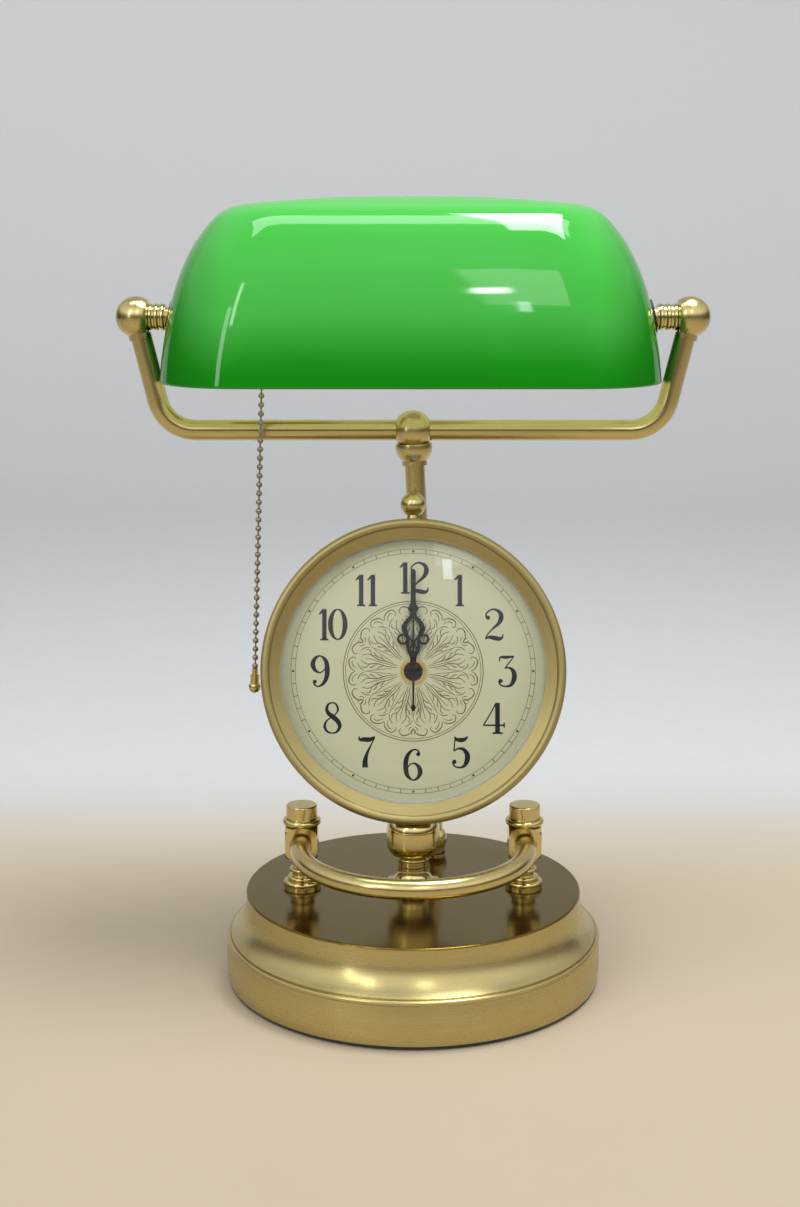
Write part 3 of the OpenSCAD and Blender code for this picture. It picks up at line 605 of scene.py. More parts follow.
class Finish(Shader):
    """A new material with a Principled surface and the object's own coordinates."""

    def __init__(self, name, centre=(0, 0, 0), turn=(0, 0, 0)):
        self.material = bpy.data.materials.new(name)
        self.material.use_nodes = True
        super().__init__(self.material.node_tree)
        self.nodes.clear()
        self.place = self.add("ShaderNodeTexCoord").outputs["Object"]
        if any(centre) or any(turn):
            self.place = self.add("ShaderNodeMapping", {
                "Vector": self.place, "Location": tuple(centre), "Rotation": tuple(turn),
            }, vector_type="TEXTURE").outputs[0]
        self.surface = self.add("ShaderNodeBsdfPrincipled")
        end = self.add("ShaderNodeOutputMaterial")
        self.tree.links.new(self.surface.outputs[0], end.inputs["Surface"])

    def use(self, kind, **inputs):
        node = self.add("ShaderNodeGroup", node_tree=group(kind))
        self.put(node.inputs["Vector"], self.place)
        for key, value in inputs.items():
            self.put(node.inputs[key], value)
        return node

    def set(self, **inputs):
        for key, value in inputs.items():
            self.put(self.surface.inputs[key.replace("_", " ")], value)

    def tarnish(self, patch):
        """How dull each place is: its patches to a given share, and its specks."""
        patina = self.use("patina")
        return self.math("ADD", self.math("MULTIPLY", patina.outputs["Patch"], patch),
                         self.math("MULTIPLY", patina.outputs["Speck"], 0.25), True)

    def over_grain(self, grain, low, high):
        """A value from low to high over the usual range of a grain."""
        return self.span(grain, 0.3, 0.7, low, high)


def metal(name, tones, rough, grain="turned", lines=1500.0, depth=0.05, patch=0.5,
          centre=(0, 0, 0), turn=(0, 0, 0)):
    """Metal with brush or lathe lines, duller patches and small specks."""
    finish = Finish(name, centre, turn)
    lay = finish.use(grain, Lines=lines, Depth=depth)
    share = finish.tarnish(patch)
    colour = finish.mix(share, *(colour4(tone) for tone in tones))
    streak = finish.over_grain(lay.outputs["Grain"], 0.88, 1.06)
    roughness = finish.math("ADD", finish.span(share, 0.0, 1.0, rough, rough + 0.09),
                            finish.over_grain(lay.outputs["Grain"], -0.03, 0.04))
    finish.set(Base_Color=finish.scaled(colour, streak), Metallic=1.0, Roughness=roughness,
               Normal=lay.outputs["Normal"])
    return finish.material


def plain(name, low, high, rough, size=1600.0, depth=0.2, specular=0.5, **inputs):
    """Moulded, painted or rubber surface with fine grain and a little variation."""
    finish = Finish(name)
    lay = finish.use("moulded", Size=size, Depth=depth)
    patina = finish.use("patina")
    colour = finish.mix(patina.outputs["Patch"], colour4(low), colour4(high))
    roughness = finish.over_grain(lay.outputs["Grain"], rough - 0.05, rough + 0.06)
    finish.set(Base_Color=colour, Roughness=roughness, Normal=lay.outputs["Normal"],
               Specular_IOR_Level=specular, **inputs)
    return finish.material


def shade_glass():
    """Green glass over white: deeper green low down, a crown painted paler as a painted reflection
    of the light above, and the ends painted darker as painted shade.
    """
    finish = Finish("Green Cased Glass")
    parts = finish.parts(finish.place)
    green = colours().shade_green
    height = finish.span(parts[2], SHADE_LOW.z, SHADE_HIGH.z, 0.0, 1.0)
    streaks = finish.noise(finish.place, 9.0, 3.0)
    level = finish.math("ADD", height, finish.over_grain(streaks, -0.07, 0.07))
    deep = colour4(green, 0.62)
    # The paler crown is a painted reflection: it stands in for the bright light above that the glass
    # mirrors.
    light = colour4([c * 0.9 + 0.055 for c in green])
    colour = finish.ramp(level, (0.05, deep), (0.4, colour4(green)), (0.92, light))
    ends = finish.math("ABSOLUTE", finish.math(
        "SUBTRACT", parts[0], (SHADE_LOW.x + SHADE_HIGH.x) / 2))
    half = (SHADE_HIGH.x - SHADE_LOW.x) / 2
    # The two ends are painted a deeper green as painted shade, where they turn away from the front.
    thick = finish.span(ends, half - 0.036, half - 0.01, 0.0, 0.7)
    colour = finish.mix(thick, colour, colour4(green, 0.42))
    waves = finish.bump(finish.noise(finish.place, 16.0, 1.0), 0.08, 0.004)
    dust = finish.use("patina", Specks=1500.0, Patches=40.0)
    roughness = finish.span(dust.outputs["Patch"], 0.0, 1.0, 0.035, 0.07)
    finish.set(Base_Color=colour, Roughness=roughness, Normal=waves, IOR=1.52)
    return finish.material


def opal_glass():
    """White inside of the shade, with a faint painted glow: an emission that stands in for daylight
    through the green.
    """
    finish = Finish("Opal Glass")
    lay = finish.use("moulded", Size=300.0, Depth=0.03)
    patina = finish.use("patina")
    opal = colours().opal
    colour = finish.mix(patina.outputs["Patch"], colour4(opal), colour4(opal, 0.95))
    # Painted glow: the emission gives the inside painted light, standing in for daylight through the
    # green.
    through = finish.mix(patina.outputs["Patch"], (0.62, 0.8, 0.5, 1.0), (0.55, 0.76, 0.45, 1.0))
    finish.set(Base_Color=colour, Roughness=finish.over_grain(lay.outputs["Grain"], 0.1, 0.18),
               Normal=lay.outputs["Normal"], Emission_Color=through, Emission_Strength=0.38)
    return finish.material


def clock_glass():
    """Thin clear glass: it mirrors by its angle and is otherwise see-through."""
    finish = Finish("Clock Glass")
    fresnel = finish.add("ShaderNodeFresnel", {"IOR": 1.3})
    dust = finish.use("patina", Specks=1200.0)
    haze = finish.math("MULTIPLY", dust.outputs["Patch"], 0.004)
    alpha = finish.math("ADD", fresnel, haze, True)
    finish.set(Base_Color=(1.0, 1.0, 1.0, 1.0), Metallic=1.0, Alpha=alpha,
               Roughness=finish.span(dust.outputs["Patch"], 0.0, 1.0, 0.0, 0.03))
    return finish.material


def dial_card():
    """Ivory card, a little deeper towards its edge, with fine printed grain."""
    tilt = math.atan2(-DIAL_DEPTH.z, DIAL_DEPTH.y)
    finish = Finish("Ivory Dial Card", DIAL_CENTRE, (math.pi / 2 - tilt, 0, 0))
    edge = finish.span(finish.radius(finish.parts(finish.place)), 0.05, 0.069, 0.0, 1.0)
    grain = finish.use("moulded", Size=2600.0, Depth=0.06)
    patina = finish.use("patina", Patches=18.0)
    ivory = colours().dial_ivory
    colour = finish.mix(edge, colour4(ivory), colour4(ivory, 0.9))
    colour = finish.mix(finish.math("MULTIPLY", patina.outputs["Patch"], 0.12), colour,
                        colour4((ivory[0], ivory[1] * 0.97, ivory[2] * 0.84)))
    finish.set(Base_Color=colour, Normal=grain.outputs["Normal"],
               Roughness=finish.over_grain(grain.outputs["Grain"], 0.42, 0.52))
    return finish.material


def felt():
    """Black felt: matted fibres."""
    finish = Finish("Black Felt")
    fibres = finish.noise(finish.place, 700.0, 6.0, 0.75, 1.2)
    colour = finish.ramp(fibres, (0.3, (0.006, 0.006, 0.006)), (0.7, (0.035, 0.033, 0.03)))
    finish.set(Base_Color=colour, Roughness=finish.over_grain(fibres, 0.85, 1.0),
               Normal=finish.bump(fibres, 0.7, 0.0006), Sheen_Weight=0.3)
    return finish.material


def base_brass():
    """The weighted base: satin brass round its wall, and a brushed and polished top whose colour is
    painted dark as a painted reflection.
    """
    finish = Finish("Base Brass")
    lay = finish.use("turned", Lines=1500.0, Depth=0.02)
    brushed = finish.use("straight", Lines=1700.0, Depth=0.05)
    top = finish.span(finish.parts(finish.place)[2], BASE_HIGH.z - 0.0012, BASE_HIGH.z - 0.0005,
                      0.0, 1.0)
    share = finish.tarnish(0.4)
    wall = finish.mix(share, *(colour4(tone) for tone in brass_tone(0.9)))
    # The top's colour is painted dark: a painted reflection of the dark surroundings behind the
    # lamp.
    painted_dark_top = finish.mix(share, (0.175, 0.12, 0.018, 1.0), (0.15, 0.1, 0.014, 1.0))
    colour = finish.mix(top, wall, painted_dark_top)
    grain = finish.mix(top, lay.outputs["Grain"], brushed.outputs["Grain"], "FLOAT")
    normal = finish.mix(top, lay.outputs["Normal"], brushed.outputs["Normal"], "VECTOR")
    streak = finish.over_grain(grain, 0.96, 1.03)
    rough = finish.math("ADD", finish.span(top, 0.0, 1.0, 0.27, 0.14),
                        finish.over_grain(grain, -0.02, 0.03))
    across = finish.span(top, 0.0, 1.0, 0.7, 0.0)
    around = finish.add("ShaderNodeTangent", direction_type="RADIAL", axis="Z")
    finish.set(Base_Color=finish.scaled(colour, streak), Metallic=1.0, Roughness=rough,
               Normal=normal, Anisotropic=across, Anisotropic_Rotation=0.25,
               Tangent=around)
    return finish.material


def brass_tone(gain):
    """Clean and dull brass, both made lighter or darker."""
    return [[c * gain for c in tone] for tone in (colours().brass, colours().brass_dull)]


# Centre and turn that put the lines' axis through the dial, or along the shade's studs
ON_DIAL = (DIAL_CENTRE, (-math.acos(DIAL_DEPTH.z), 0.0, 0.0))
ON_STUDS = (PIVOT, (0, math.pi / 2, 0))

# Name, gain over the brass or two tones, roughness, grain, its lines and depth, the share of dull
# patches, and the grain's centre and turn
METALS = {
    "bezel_brass": ("Bezel Brass", 0.74, 0.46, "turned", 2600.0, 0.3, 0.4, *ON_DIAL),
    "case_brass": ("Drum Brass", 0.9, 0.34, "turned", 1800.0, 0.2, 0.5, *ON_DIAL),
    "tube_brass": ("Tube Brass", 1.02, 0.2, "straight", 1500.0, 0.08, 0.4),
    "post_brass": ("Turned Brass", 1.08, 0.12, "turned", 1800.0, 0.04, 0.35),
    "pole_brass": ("Pole Brass", 1.0, 0.22, "straight", 1500.0, 0.08, 0.4, (0, 0, 0),
                   (0, math.pi / 2, 0)),
    "ball_brass": ("Ball Brass", 1.02, 0.24),
    "nut_brass": ("Dial Nut Brass", ((0.78, 0.56, 0.16), (0.62, 0.42, 0.1)), 0.22, "turned",
                  2600.0, 0.1, 0.3, *ON_DIAL),
    "chain_brass": ("Chain Nickel", ((0.4, 0.37, 0.29), (0.28, 0.25, 0.18)), 0.3, "turned",
                    1500.0, 0.05, 0.9),
    "holder_brass": ("Lamp Holder Brass", 0.95, 0.3, "turned", 1800.0, 0.1, 0.6, *ON_STUDS),
    "zinc": ("Zinc Plated Steel", ((0.5, 0.5, 0.49), (0.36, 0.36, 0.35)), 0.32, "turned",
             2600.0, 0.2, 0.7),
    "alloy": ("Bulb Cap Alloy", ((0.62, 0.62, 0.63), (0.45, 0.45, 0.45)), 0.28, "turned",
              2400.0, 0.15, 0.6, *ON_STUDS),
}

# Name, two colours, roughness, and the grain's size and depth
PLAINS = {
    "plate": ("Painted Plate", (0.03, 0.03, 0.03), (0.05, 0.05, 0.05), 0.5, 900.0, 0.3),
    "rubber": ("Black Rubber", (0.012, 0.012, 0.013), (0.022, 0.021, 0.02), 0.6, 1400.0, 0.3),
    "terminal": ("Terminal Plastic", (0.72, 0.7, 0.62), (0.66, 0.63, 0.55), 0.4),
    "movement": ("Movement Plastic", (0.014, 0.014, 0.015), (0.022, 0.022, 0.023), 0.45, 1500.0,
                 0.45),
    "battery": ("Battery Wrap", (0.03, 0.06, 0.13), (0.04, 0.075, 0.15), 0.25, 500.0, 0.05),
    "hand_black": ("Black Enamel", (0.003, 0.003, 0.0035), (0.006, 0.006, 0.006), 0.35, 900.0,
                   0.06, 0.2),
    "track_ink": ("Track Ink", (0.045, 0.042, 0.04), (0.07, 0.065, 0.055), 0.4, 2400.0, 0.1),
    # The spacer's pale blue-white is a painted highlight for the glint on the clock glass's rounded
    # edge.
    "spacer": ("Pale Spacer", (0.86, 0.92, 0.93), (0.78, 0.85, 0.87), 0.22, 900.0, 0.05),
    "porcelain": ("Holder Lining", (0.3, 0.22, 0.13), (0.24, 0.17, 0.1), 0.6, 700.0, 0.4),
    "bulb": ("Frosted Bulb Glass", (0.86, 0.85, 0.82), (0.82, 0.81, 0.77), 0.3, 1200.0, 0.1),
    "wire": ("Wire Sheath", (0.6, 0.56, 0.45), (0.54, 0.5, 0.4), 0.35, 900.0, 0.1),
}


def printed(name, ink, rough, specular=0.5):
    """Printing ink, a little uneven."""
    return plain(name, ink, [c * 1.4 for c in ink], rough, 2400.0, 0.1, specular)


RECIPES = {
    "shade_green": shade_glass,
    "opal": opal_glass,
    "base_brass": base_brass,
    "clock_glass": clock_glass,
    "dial": dial_card,
    "felt": felt,
    "iron": lambda: plain("Cast Iron", (0.02, 0.02, 0.022), (0.045, 0.043, 0.04), 0.7, 240.0, 0.8,
                          Metallic=0.6),
    "ink": lambda: printed("Number Ink", colours().ink, 0.45, 0.25),
    "ornament_ink": lambda: printed("Ornament Ink", colours().ornament, 0.4),
}


def material(key):
    """Makes each finish once, by its key."""
    if key not in MATERIALS:
        if key in METALS:
            name, tones, *rest = METALS[key]
            tones = tones if isinstance(tones, tuple) else brass_tone(tones)
            MATERIALS[key] = metal(name, tones, *rest)
        elif key in PLAINS:
            MATERIALS[key] = plain(*PLAINS[key])
        else:
            MATERIALS[key] = RECIPES[key]()
    return MATERIALS[key]


# The finish of each part that keeps its shape from the frame
NODE_FINISH = {
    "base_brass": ["base_shell"],
    "bezel_brass": ["clock_bezel"],
    "case_brass": ["clock_case", "clock_back"],
    "tube_brass": ["yoke_tube", "pen_rail"],
    "post_brass": ["rail_post_left", "rail_post_right", "rail_cap_left", "rail_cap_right",
                   "clock_column", "clock_saddle", "outer_nuts", "inner_nuts"],
    "nut_brass": ["movement_nut"],
    "pole_brass": ["pole_tube"],
    "ball_brass": ["pole_foot_ball", "swivel_cup", "yoke_ball", "end_ball_left", "end_ball_right",
                   "clock_finial", "chain_pull_end"],
    "chain_brass": ["pull_chain", "chain_connector"],
    "holder_brass": ["holder_cap", "holder_shell", "pull_switch", "stud_left", "stud_right"],
    "zinc": ["base_plate_screws", "base_nuts", "rail_screws", "column_stud", "back_screws",
             "finial_nut", "cup_set_screw"],
    "alloy": ["bulb_cap"],
    "iron": ["base_weight"],
    "plate": ["base_plate"],
    "rubber": ["cord_grommet", "shade_washers"],
    "terminal": ["terminal_block"],
    "movement": ["movement", "time_set_knob"],
    "battery": ["battery"],
    "spacer": ["dial_spacer"],
    "clock_glass": ["clock_glass"],
    "dial": ["dial_plate"],
    "porcelain": ["holder_liner"],
    "bulb": ["bulb_glass"],
    "wire": ["pole_wire", "yoke_wire"],
}


# ---- operators ------------------------------------------------------------


class LAMP_OT_finishes(bpy.types.Operator):
    """Give each part of the metal frame, clock and lamp holder its finish"""

    bl_idname = "lamp.finishes"
    bl_label = "Finish the Frame"

    def execute(self, context):
        for name, nodes in NODE_FINISH.items():
            for node in nodes:
                mesh = frame["nodes"][node].data
                mesh.materials.clear()
                mesh.materials.append(material(name))
        return {"FINISHED"}


class LAMP_OT_shade(bpy.types.Operator):
    """Blow the long glass shade: a rounded plan drawn up into a crown, with a real wall"""

    bl_idname = "lamp.shade"
    bl_label = "Glass Shade"

    # Height above the rim and half length lost there, in millimetres
    WALL = ((3.0, 0.2), (11.0, 0.9), (25.0, 2.7), (40.0, 5.8), (51.0, 8.9), (62.0, 13.2),
            (71.0, 17.9), (74.2, 20.0), (79.5, 24.1), (84.0, 28.7), (87.6, 34.3), (89.7, 43.0))
    # Millimetres: the plan's corner radius, the crown's rise above the wall, the radius of the
    # holes for the studs and the rounding of the rim
    CORNER, CROWN, STUD_HOLE, RIM_EDGE = 46.0, 3.7, 5.5, 0.9
    # The steps of the crown, as shares of the wall's last outline
    CROWN_STEPS = (0.82, 0.58, 0.34, 0.12)

    def lift(self, height):
        """Extrudes the selected cap straight up by a height in millimetres."""
        bpy.ops.mesh.extrude_region_move(TRANSFORM_OT_translate={"value": (0, 0, height * MM)})

    def pick_verts(self, piece, wanted):
        """Selects the vertices of the cap that pass a test."""
        bpy.ops.object.mode_set(mode="OBJECT")
        top = max(v.co.z for v in piece.data.vertices)
        for part in (piece.data.polygons, piece.data.edges):
            for one in part:
                one.select = False
        for vert in piece.data.vertices:
            vert.select = vert.co.z > top - 1e-6 and wanted(vert.co)
        bpy.ops.object.mode_set(mode="EDIT")

    def draw_in(self, piece, before, after, straight):
        """Draws the cap in: its corners slide inwards while it is wide, then its ends shrink."""
        step = (after - before) * MM
        for sx in (-1, 1):
            if before < straight:
                for sy in (-1, 1):
                    self.pick_verts(piece, lambda co: co.x * sx > 0 and co.y * sy > 0)
                    bpy.ops.transform.translate(value=(-sx * step, -sy * step, 0))
            else:
                half_x, half_y = self.half
                share = (half_y - after * MM) / (half_y - before * MM)
                self.pick_verts(piece, lambda co: co.x * sx > 0)
                bpy.ops.transform.resize(value=(share, share, 1),
                                         center_override=(sx * (half_x - half_y), 0, 0))
        self.pick_verts(piece, lambda co: True)
        bpy.ops.mesh.select_mode(type="FACE")
        bpy.ops.mesh.select_mode(type="VERT")

    def outline(self):
        """The rim's outline: a flat rectangle with rounded corners."""
        bpy.ops.mesh.primitive_plane_add(size=2)
        piece = named("shade_glass")
        piece.scale = (*self.half, 1)
        settle(piece)
        bpy.ops.object.mode_set(mode="EDIT")
        bpy.ops.mesh.select_all(action="SELECT")
        bpy.ops.mesh.bevel(offset=self.CORNER * MM, segments=sizes().corner_steps,
                           affect="VERTICES")
        bpy.ops.mesh.select_all(action="SELECT")
        return piece

    def raise_walls(self, piece):
        """Draws the outline up and inwards, and over into the low crown."""
        straight = self.half[1] / MM - self.CORNER
        height, cut = 0.0, 0.0
        for next_height, next_cut in self.WALL:
            self.lift(next_height - height)
            self.draw_in(piece, cut, next_cut, straight)
            height, cut = next_height, next_cut
        scale = 1.0
        for share in self.CROWN_STEPS:
            self.lift(self.CROWN * (scale * scale - share * share))
            bpy.ops.transform.resize(value=(share / scale, share / scale, 1),
                                     center_override=(0, 0, 0))
            scale = share

    def open_rim(self, piece):
        """Takes away the face across the rim and turns the others outwards."""
        bpy.ops.mesh.select_mode(type="FACE")
        bpy.ops.mesh.select_all(action="DESELECT")
        bpy.ops.object.mode_set(mode="OBJECT")
        for face in piece.data.polygons:
            face.select = len(face.vertices) > 4 and face.center.z < 1e-6
        bpy.ops.object.mode_set(mode="EDIT")
        bpy.ops.mesh.delete(type="FACE")
        bpy.ops.mesh.select_mode(type="VERT")
        bpy.ops.mesh.select_all(action="SELECT")
        bpy.ops.mesh.normals_make_consistent(inside=False)
        bpy.ops.object.mode_set(mode="OBJECT")

    def drill(self, piece):
        """Drills the hole for a stud through each end."""
        bpy.ops.mesh.primitive_cylinder_add(
            vertices=48, radius=self.STUD_HOLE * MM, depth=0.4, location=PIVOT,
            rotation=(0, math.pi / 2, 0))
        bit = bpy.context.object
        modified(piece, "BOOLEAN", object=bit, operation="DIFFERENCE", solver="EXACT")
        bpy.data.objects.remove(bit)

    def execute(self, context):
        self.half = [(SHADE_HIGH - SHADE_LOW)[k] / 2 for k in (0, 1)]
        piece = self.outline()
        self.raise_walls(piece)
        self.open_rim(piece)
        middle = (SHADE_LOW + SHADE_HIGH) / 2
        piece.location = (middle.x, middle.y, SHADE_LOW.z)
        settle(piece)
        modified(piece, "SUBSURF", levels=1, render_levels=1)
        piece.data.materials.append(material("shade_green"))
        piece.data.materials.append(material("opal"))
        modified(piece, "SOLIDIFY", thickness=sizes().glass_wall, offset=-1.0,
                 material_offset=1, material_offset_rim=0, use_even_offset=True)
        modified(piece, "BEVEL", width=self.RIM_EDGE * MM, segments=3, limit_method="ANGLE",
                 angle_limit=math.radians(60))
        self.drill(piece)
        smooth(piece, 40)
        finish_piece(piece, "shade", material("shade_green"), ["glass_shade"])
        return {"FINISHED"}


class LAMP_OT_dial_print(bpy.types.Operator):
    """Print the dial: its minute track, its numbers and the leaf ornament in the middle"""

    bl_idname = "lamp.dial_print"
    bl_label = "Dial Print"

    # The minute track: its half width, the widths of its circles and ticks, its dots' radius
    TRACK_HALF, CIRCLE, TICK, DOT = 0.0011, 0.0002, 0.0003, 0.00062
    # How far each digit of a two-digit number stands from its middle, in heights
    PAIRS = {"10": (-0.25, 0.17), "11": (-0.17, 0.2), "12": (-0.25, 0.19)}
    # Radius that the ornament is drawn at, and the widths of its pen, in millimetres
    DRAWN_RADIUS, PEN, THIN_PEN = 36.1, 0.42, 0.28
    # How far the print stands over the dial, in heights of its ink
    LIFT = 1.2

    def numbers(self, depth):
        """The twelve numbers, all upright."""
        work = FlatWork("dial_numbers", depth)
        height = sizes().numeral_height
        for hour in range(1, 13):
            x, y = on_clock(sizes().numeral_radius, hour * 5)
            text = str(hour)
            for digit, shift in zip(text, self.PAIRS.get(text, (0.0,))):
                glyph(work, digit, x + shift * height, y, height)
        return work.made(sizes().print_height)

    def track(self, depth):
        """Two circles with a tick at each minute and a dot at each fifth."""
        work = FlatWork("dial_minute_track", depth)
        middle = sizes().track_radius
        edges = (middle - self.TRACK_HALF, middle + self.TRACK_HALF)
        for radius in edges:
            work.ring(0, 0, radius, self.CIRCLE, 180)
        for minute in range(60):
            if minute % 5 == 0:
                work.disc(*on_clock(middle, minute), self.DOT, 14)
            else:
                work.straight(*((*on_clock(radius, minute), self.TICK) for radius in edges))
        return work.made(sizes().print_height)

    def ornament(self, depth):
        """Twelve leaves, six small flowers and a scalloped border between two circles."""
        scale = sizes().medallion_radius / (self.DRAWN_RADIUS * MM)
        work = FlatWork("dial_ornament", depth, scale)

        def draw(points, turn, flip=1.0):
            sin, cos = math.sin(math.radians(turn)), math.cos(math.radians(turn))
            placed = []
            for r, side, w in points:
                x, y = flip * side * MM, r * MM
                placed.append((x * cos + y * sin, y * cos - x * sin,
                               w * self.PEN * MM))
            work.stroke(placed, steps=5)

        for radius, pen in ((36.0, self.PEN), (34.8, self.THIN_PEN)):
            work.ring(0, 0, radius * MM, pen * MM, 120)
        leaf = [(8.5, 0.5, 0.6), (14.0, 1.2, 1.0), (19.0, 1.1, 1.2), (24.0, 2.6, 1.0),
                (27.5, 1.2, 0.7)]
        vein = [(10.0, 0.0, 0.5), (16.0, 0.1, 0.8), (22.0, 0.3, 0.8), (25.5, 0.1, 0.5)]
        barbs = [
            [(15.0, 1.0, 0.6), (17.4, 2.6, 1.1), (18.2, 3.6, 0.7)],
            [(19.0, 1.4, 0.6), (21.2, 3.6, 1.2), (22.4, 3.9, 0.7)],
            [(22.6, 2.3, 0.6), (24.4, 4.6, 1.1), (26.4, 4.4, 0.6)],
        ]
        scallop = [(29.0, 7.6, 0.7), (31.2, 6.9, 1.2), (33.0, 4.6, 1.5), (33.2, 2.4, 1.2),
                   (31.4, 0.9, 1.0), (30.0, 1.7, 0.6)]
        scallop_under = [(28.0, 6.2, 0.5), (30.0, 5.6, 0.9), (31.6, 4.0, 1.0), (31.4, 2.8, 0.5)]
        tip = [(28.6, 0.4, 0.5), (29.4, 1.9, 1.0), (30.8, 2.4, 0.5)]
        bud = [(17.0, 0.0, 0.5), (20.0, 0.5, 0.9), (22.4, 0.0, 0.5)]
        petal = [(29.4, 0.0, 0.5), (31.2, 1.0, 1.2), (32.6, 0.5, 0.6)]
        spray = [(24.5, 6.2, 0.5), (27.0, 5.2, 1.1), (28.6, 3.4, 0.8)]
        thread = [(11.0, 1.6, 0.4), (15.5, 3.1, 0.7), (20.5, 5.0, 0.7), (24.0, 6.6, 0.4)]
        for k in range(12):
            turn = 15 + 30 * k
            draw(vein, turn)
            for flip in (-1.0, 1.0):
                for line in (leaf, thread, spray, *barbs):
                    draw(line, turn, flip)
        for k in range(6):
            for flip in (-1.0, 1.0):
                draw(scallop, 60 * k + flip * 15, flip)
                draw(scallop, 60 * k + flip * 15, -flip)
                draw(scallop_under, 60 * k + flip * 15, flip)
                draw(petal, 60 * k, flip)
                draw(tip, 60 * k, flip)
            for angle in (-9.0, 9.0):
                draw(bud, 60 * k + angle)
        return work.made(sizes().print_height)

    def execute(self, context):
        depth = front_of("dial_plate") - sizes().print_height * self.LIFT
        for draw, ink in ((self.track, "track_ink"), (self.ornament, "ornament_ink"),
                          (self.numbers, "ink")):
            finish_piece(draw(depth), "base", material(ink))
        return {"FINISHED"}


class LAMP_OT_hands(bpy.types.Operator):
    """Cut the three hands: two with openwork scrolls and a plain needle for the seconds"""

    bl_idname = "lamp.hands"
    bl_label = "Clock Hands"

    # Strokes in millimetres by x, height and width: the hour hand's scrolls, the bars that cross
    # them, the minute hand's sides, and the knop that both hands have
    OPENWORK = [
        (0.0, 29.6, 1.9), (1.8, 27.0, 2.0), (4.4, 23.9, 2.2), (4.9, 21.2, 2.0), (3.4, 18.4, 1.6),
        (2.6, 15.9, 1.3), (3.1, 13.1, 1.4), (2.3, 10.3, 1.6), (0.8, 7.6, 2.0), (0.3, 4.6, 2.4),
    ]
    CROSSING = [(-3.4, 18.6, 1.1), (-1.4, 16.4, 0.9), (0.0, 14.4, 1.1), (1.5, 12.2, 0.9),
                (2.4, 10.8, 1.1)]
    SIDES = [
        (0.0, 29.8, 1.8), (1.7, 27.0, 1.5), (3.7, 23.9, 1.4), (3.9, 21.2, 1.3), (2.9, 18.4, 1.2),
        (2.4, 15.6, 1.2), (2.6, 13.0, 1.3), (1.8, 10.4, 1.4), (0.3, 8.0, 1.8),
    ]
    KNOP = [(0.0, 28.6, 2.8), (0.0, 30.4, 3.4), (0.0, 31.6, 5.2), (0.0, 32.8, 5.2),
            (0.0, 34.2, 3.4), (0.0, 35.6, 2.6)]

    def drawn(self, work, points, flip=1.0, steps=6):
        work.stroke([(flip * x * MM, y * MM, w * MM) for x, y, w in points], steps)

    def sleeve(self, name, radii, front, depth):
        """A hand's flat hub and hollow arbor, by the radii of hub, arbor and bore in millimetres."""
        cap, arbor, bore = (r * MM for r in radii)
        back = front + depth
        profile = [(bore, front), (cap - 0.0004, front), (cap, front + 0.0002),
                   (cap, front + 0.0005), (arbor, front + 0.0006), (arbor, back), (bore, back),
                   (bore, front)]
        return turned(name, profile, DIAL_CENTRE, DIAL_DEPTH, 48)

    def joined(self, name, parts):
        """The parts as one smooth piece."""
        deselect()
        for part in parts:
            part.select_set(True)
        bpy.context.view_layer.objects.active = parts[0]
        bpy.ops.object.join()
        piece = bpy.context.object
        piece.name = name
        smooth(piece, 35)
        return piece

    def finish(self, body, work, hub, thick=0.0006, edge=0.00008):
        """Joins a hand's blade to its hub as the pointer of a body."""
        piece = self.joined(f"{body}_pointer", [work.made(thick, edge), hub])
        finish_piece(piece, body, material("hand_black"), [f"{body}_hand"])

    def hour(self):
        """Openwork scrolls with a ring on each side, and short thorns."""
        front = front_of("hour_hand")
        work = FlatWork("hour_blade", front)
        for flip in (-1.0, 1.0):
            self.drawn(work, self.OPENWORK, flip)
            self.drawn(work, self.CROSSING, flip)
            work.ring(flip * 5.4 * MM, 16.4 * MM, 2.35 * MM, 1.2 * MM, 28)
            self.drawn(work, [(4.6, 23.0, 1.6), (6.1, 22.6, 0.5)], flip, 2)
            self.drawn(work, [(2.4, 26.4, 1.4), (3.9, 26.9, 0.5)], flip, 2)
        self.drawn(work, self.KNOP)
        hub = self.sleeve("hour_sleeve", (4.6, 2.45, 1.83), front, 0.0088)
        self.finish("hour", work, hub)

    def minute(self):
        """Two sides that meet in a knop, and a long straight tip."""
        front = front_of("minute_hand")
        work = FlatWork("minute_blade", front)
        for flip in (-1.0, 1.0):
            self.drawn(work, self.SIDES, flip)
        self.drawn(work, [(0.0, 9.0, 2.0), (0.0, 6.0, 2.2), (0.0, 3.5, 2.6)])
        self.drawn(work, self.KNOP)
        self.drawn(work, [(0.0, 34.0, 2.7), (0.0, 42.0, 2.5), (0.0, 50.4, 2.6), (0.0, 51.6, 2.2),
                          (0.0, 52.2, 1.0)])
        hub = self.sleeve("minute_sleeve", (4.9, 1.7, 0.98), front, 0.011)
        self.finish("minute", work, hub)

    def second(self):
        """A tapered needle with a small pointed weight behind its cap."""
        front = front_of("second_hand")
        work = FlatWork("second_blade", front)
        self.drawn(work, [(0.0, 0.0, 1.2), (0.0, 20.0, 0.9), (0.0, 50.0, 0.5)])
        self.drawn(work, [(0.0, 0.0, 1.1), (0.0, -10.0, 1.0), (0.0, -16.8, 0.9)])
        work.outline([(x * MM, y * MM) for x, y in
                      ((0.0, -16.2), (1.4, -18.7), (0.35, -20.4), (-0.35, -20.4), (-1.4, -18.7))])
        cap = [(0.0, front - 0.0004), (0.002, front - 0.0003), (0.0029, front),
               (0.0032, front + 0.0005), (0.0009, front + 0.0006), (0.0009, front + 0.0125),
               (0.0, front + 0.0125)]
        hub = turned("second_cap", cap, DIAL_CENTRE, DIAL_DEPTH, 48)
        self.finish("second", work, hub, 0.0005, 0.00006)

    def execute(self, context):
        self.hour()
        self.minute()
        self.second()
        return {"FINISHED"}


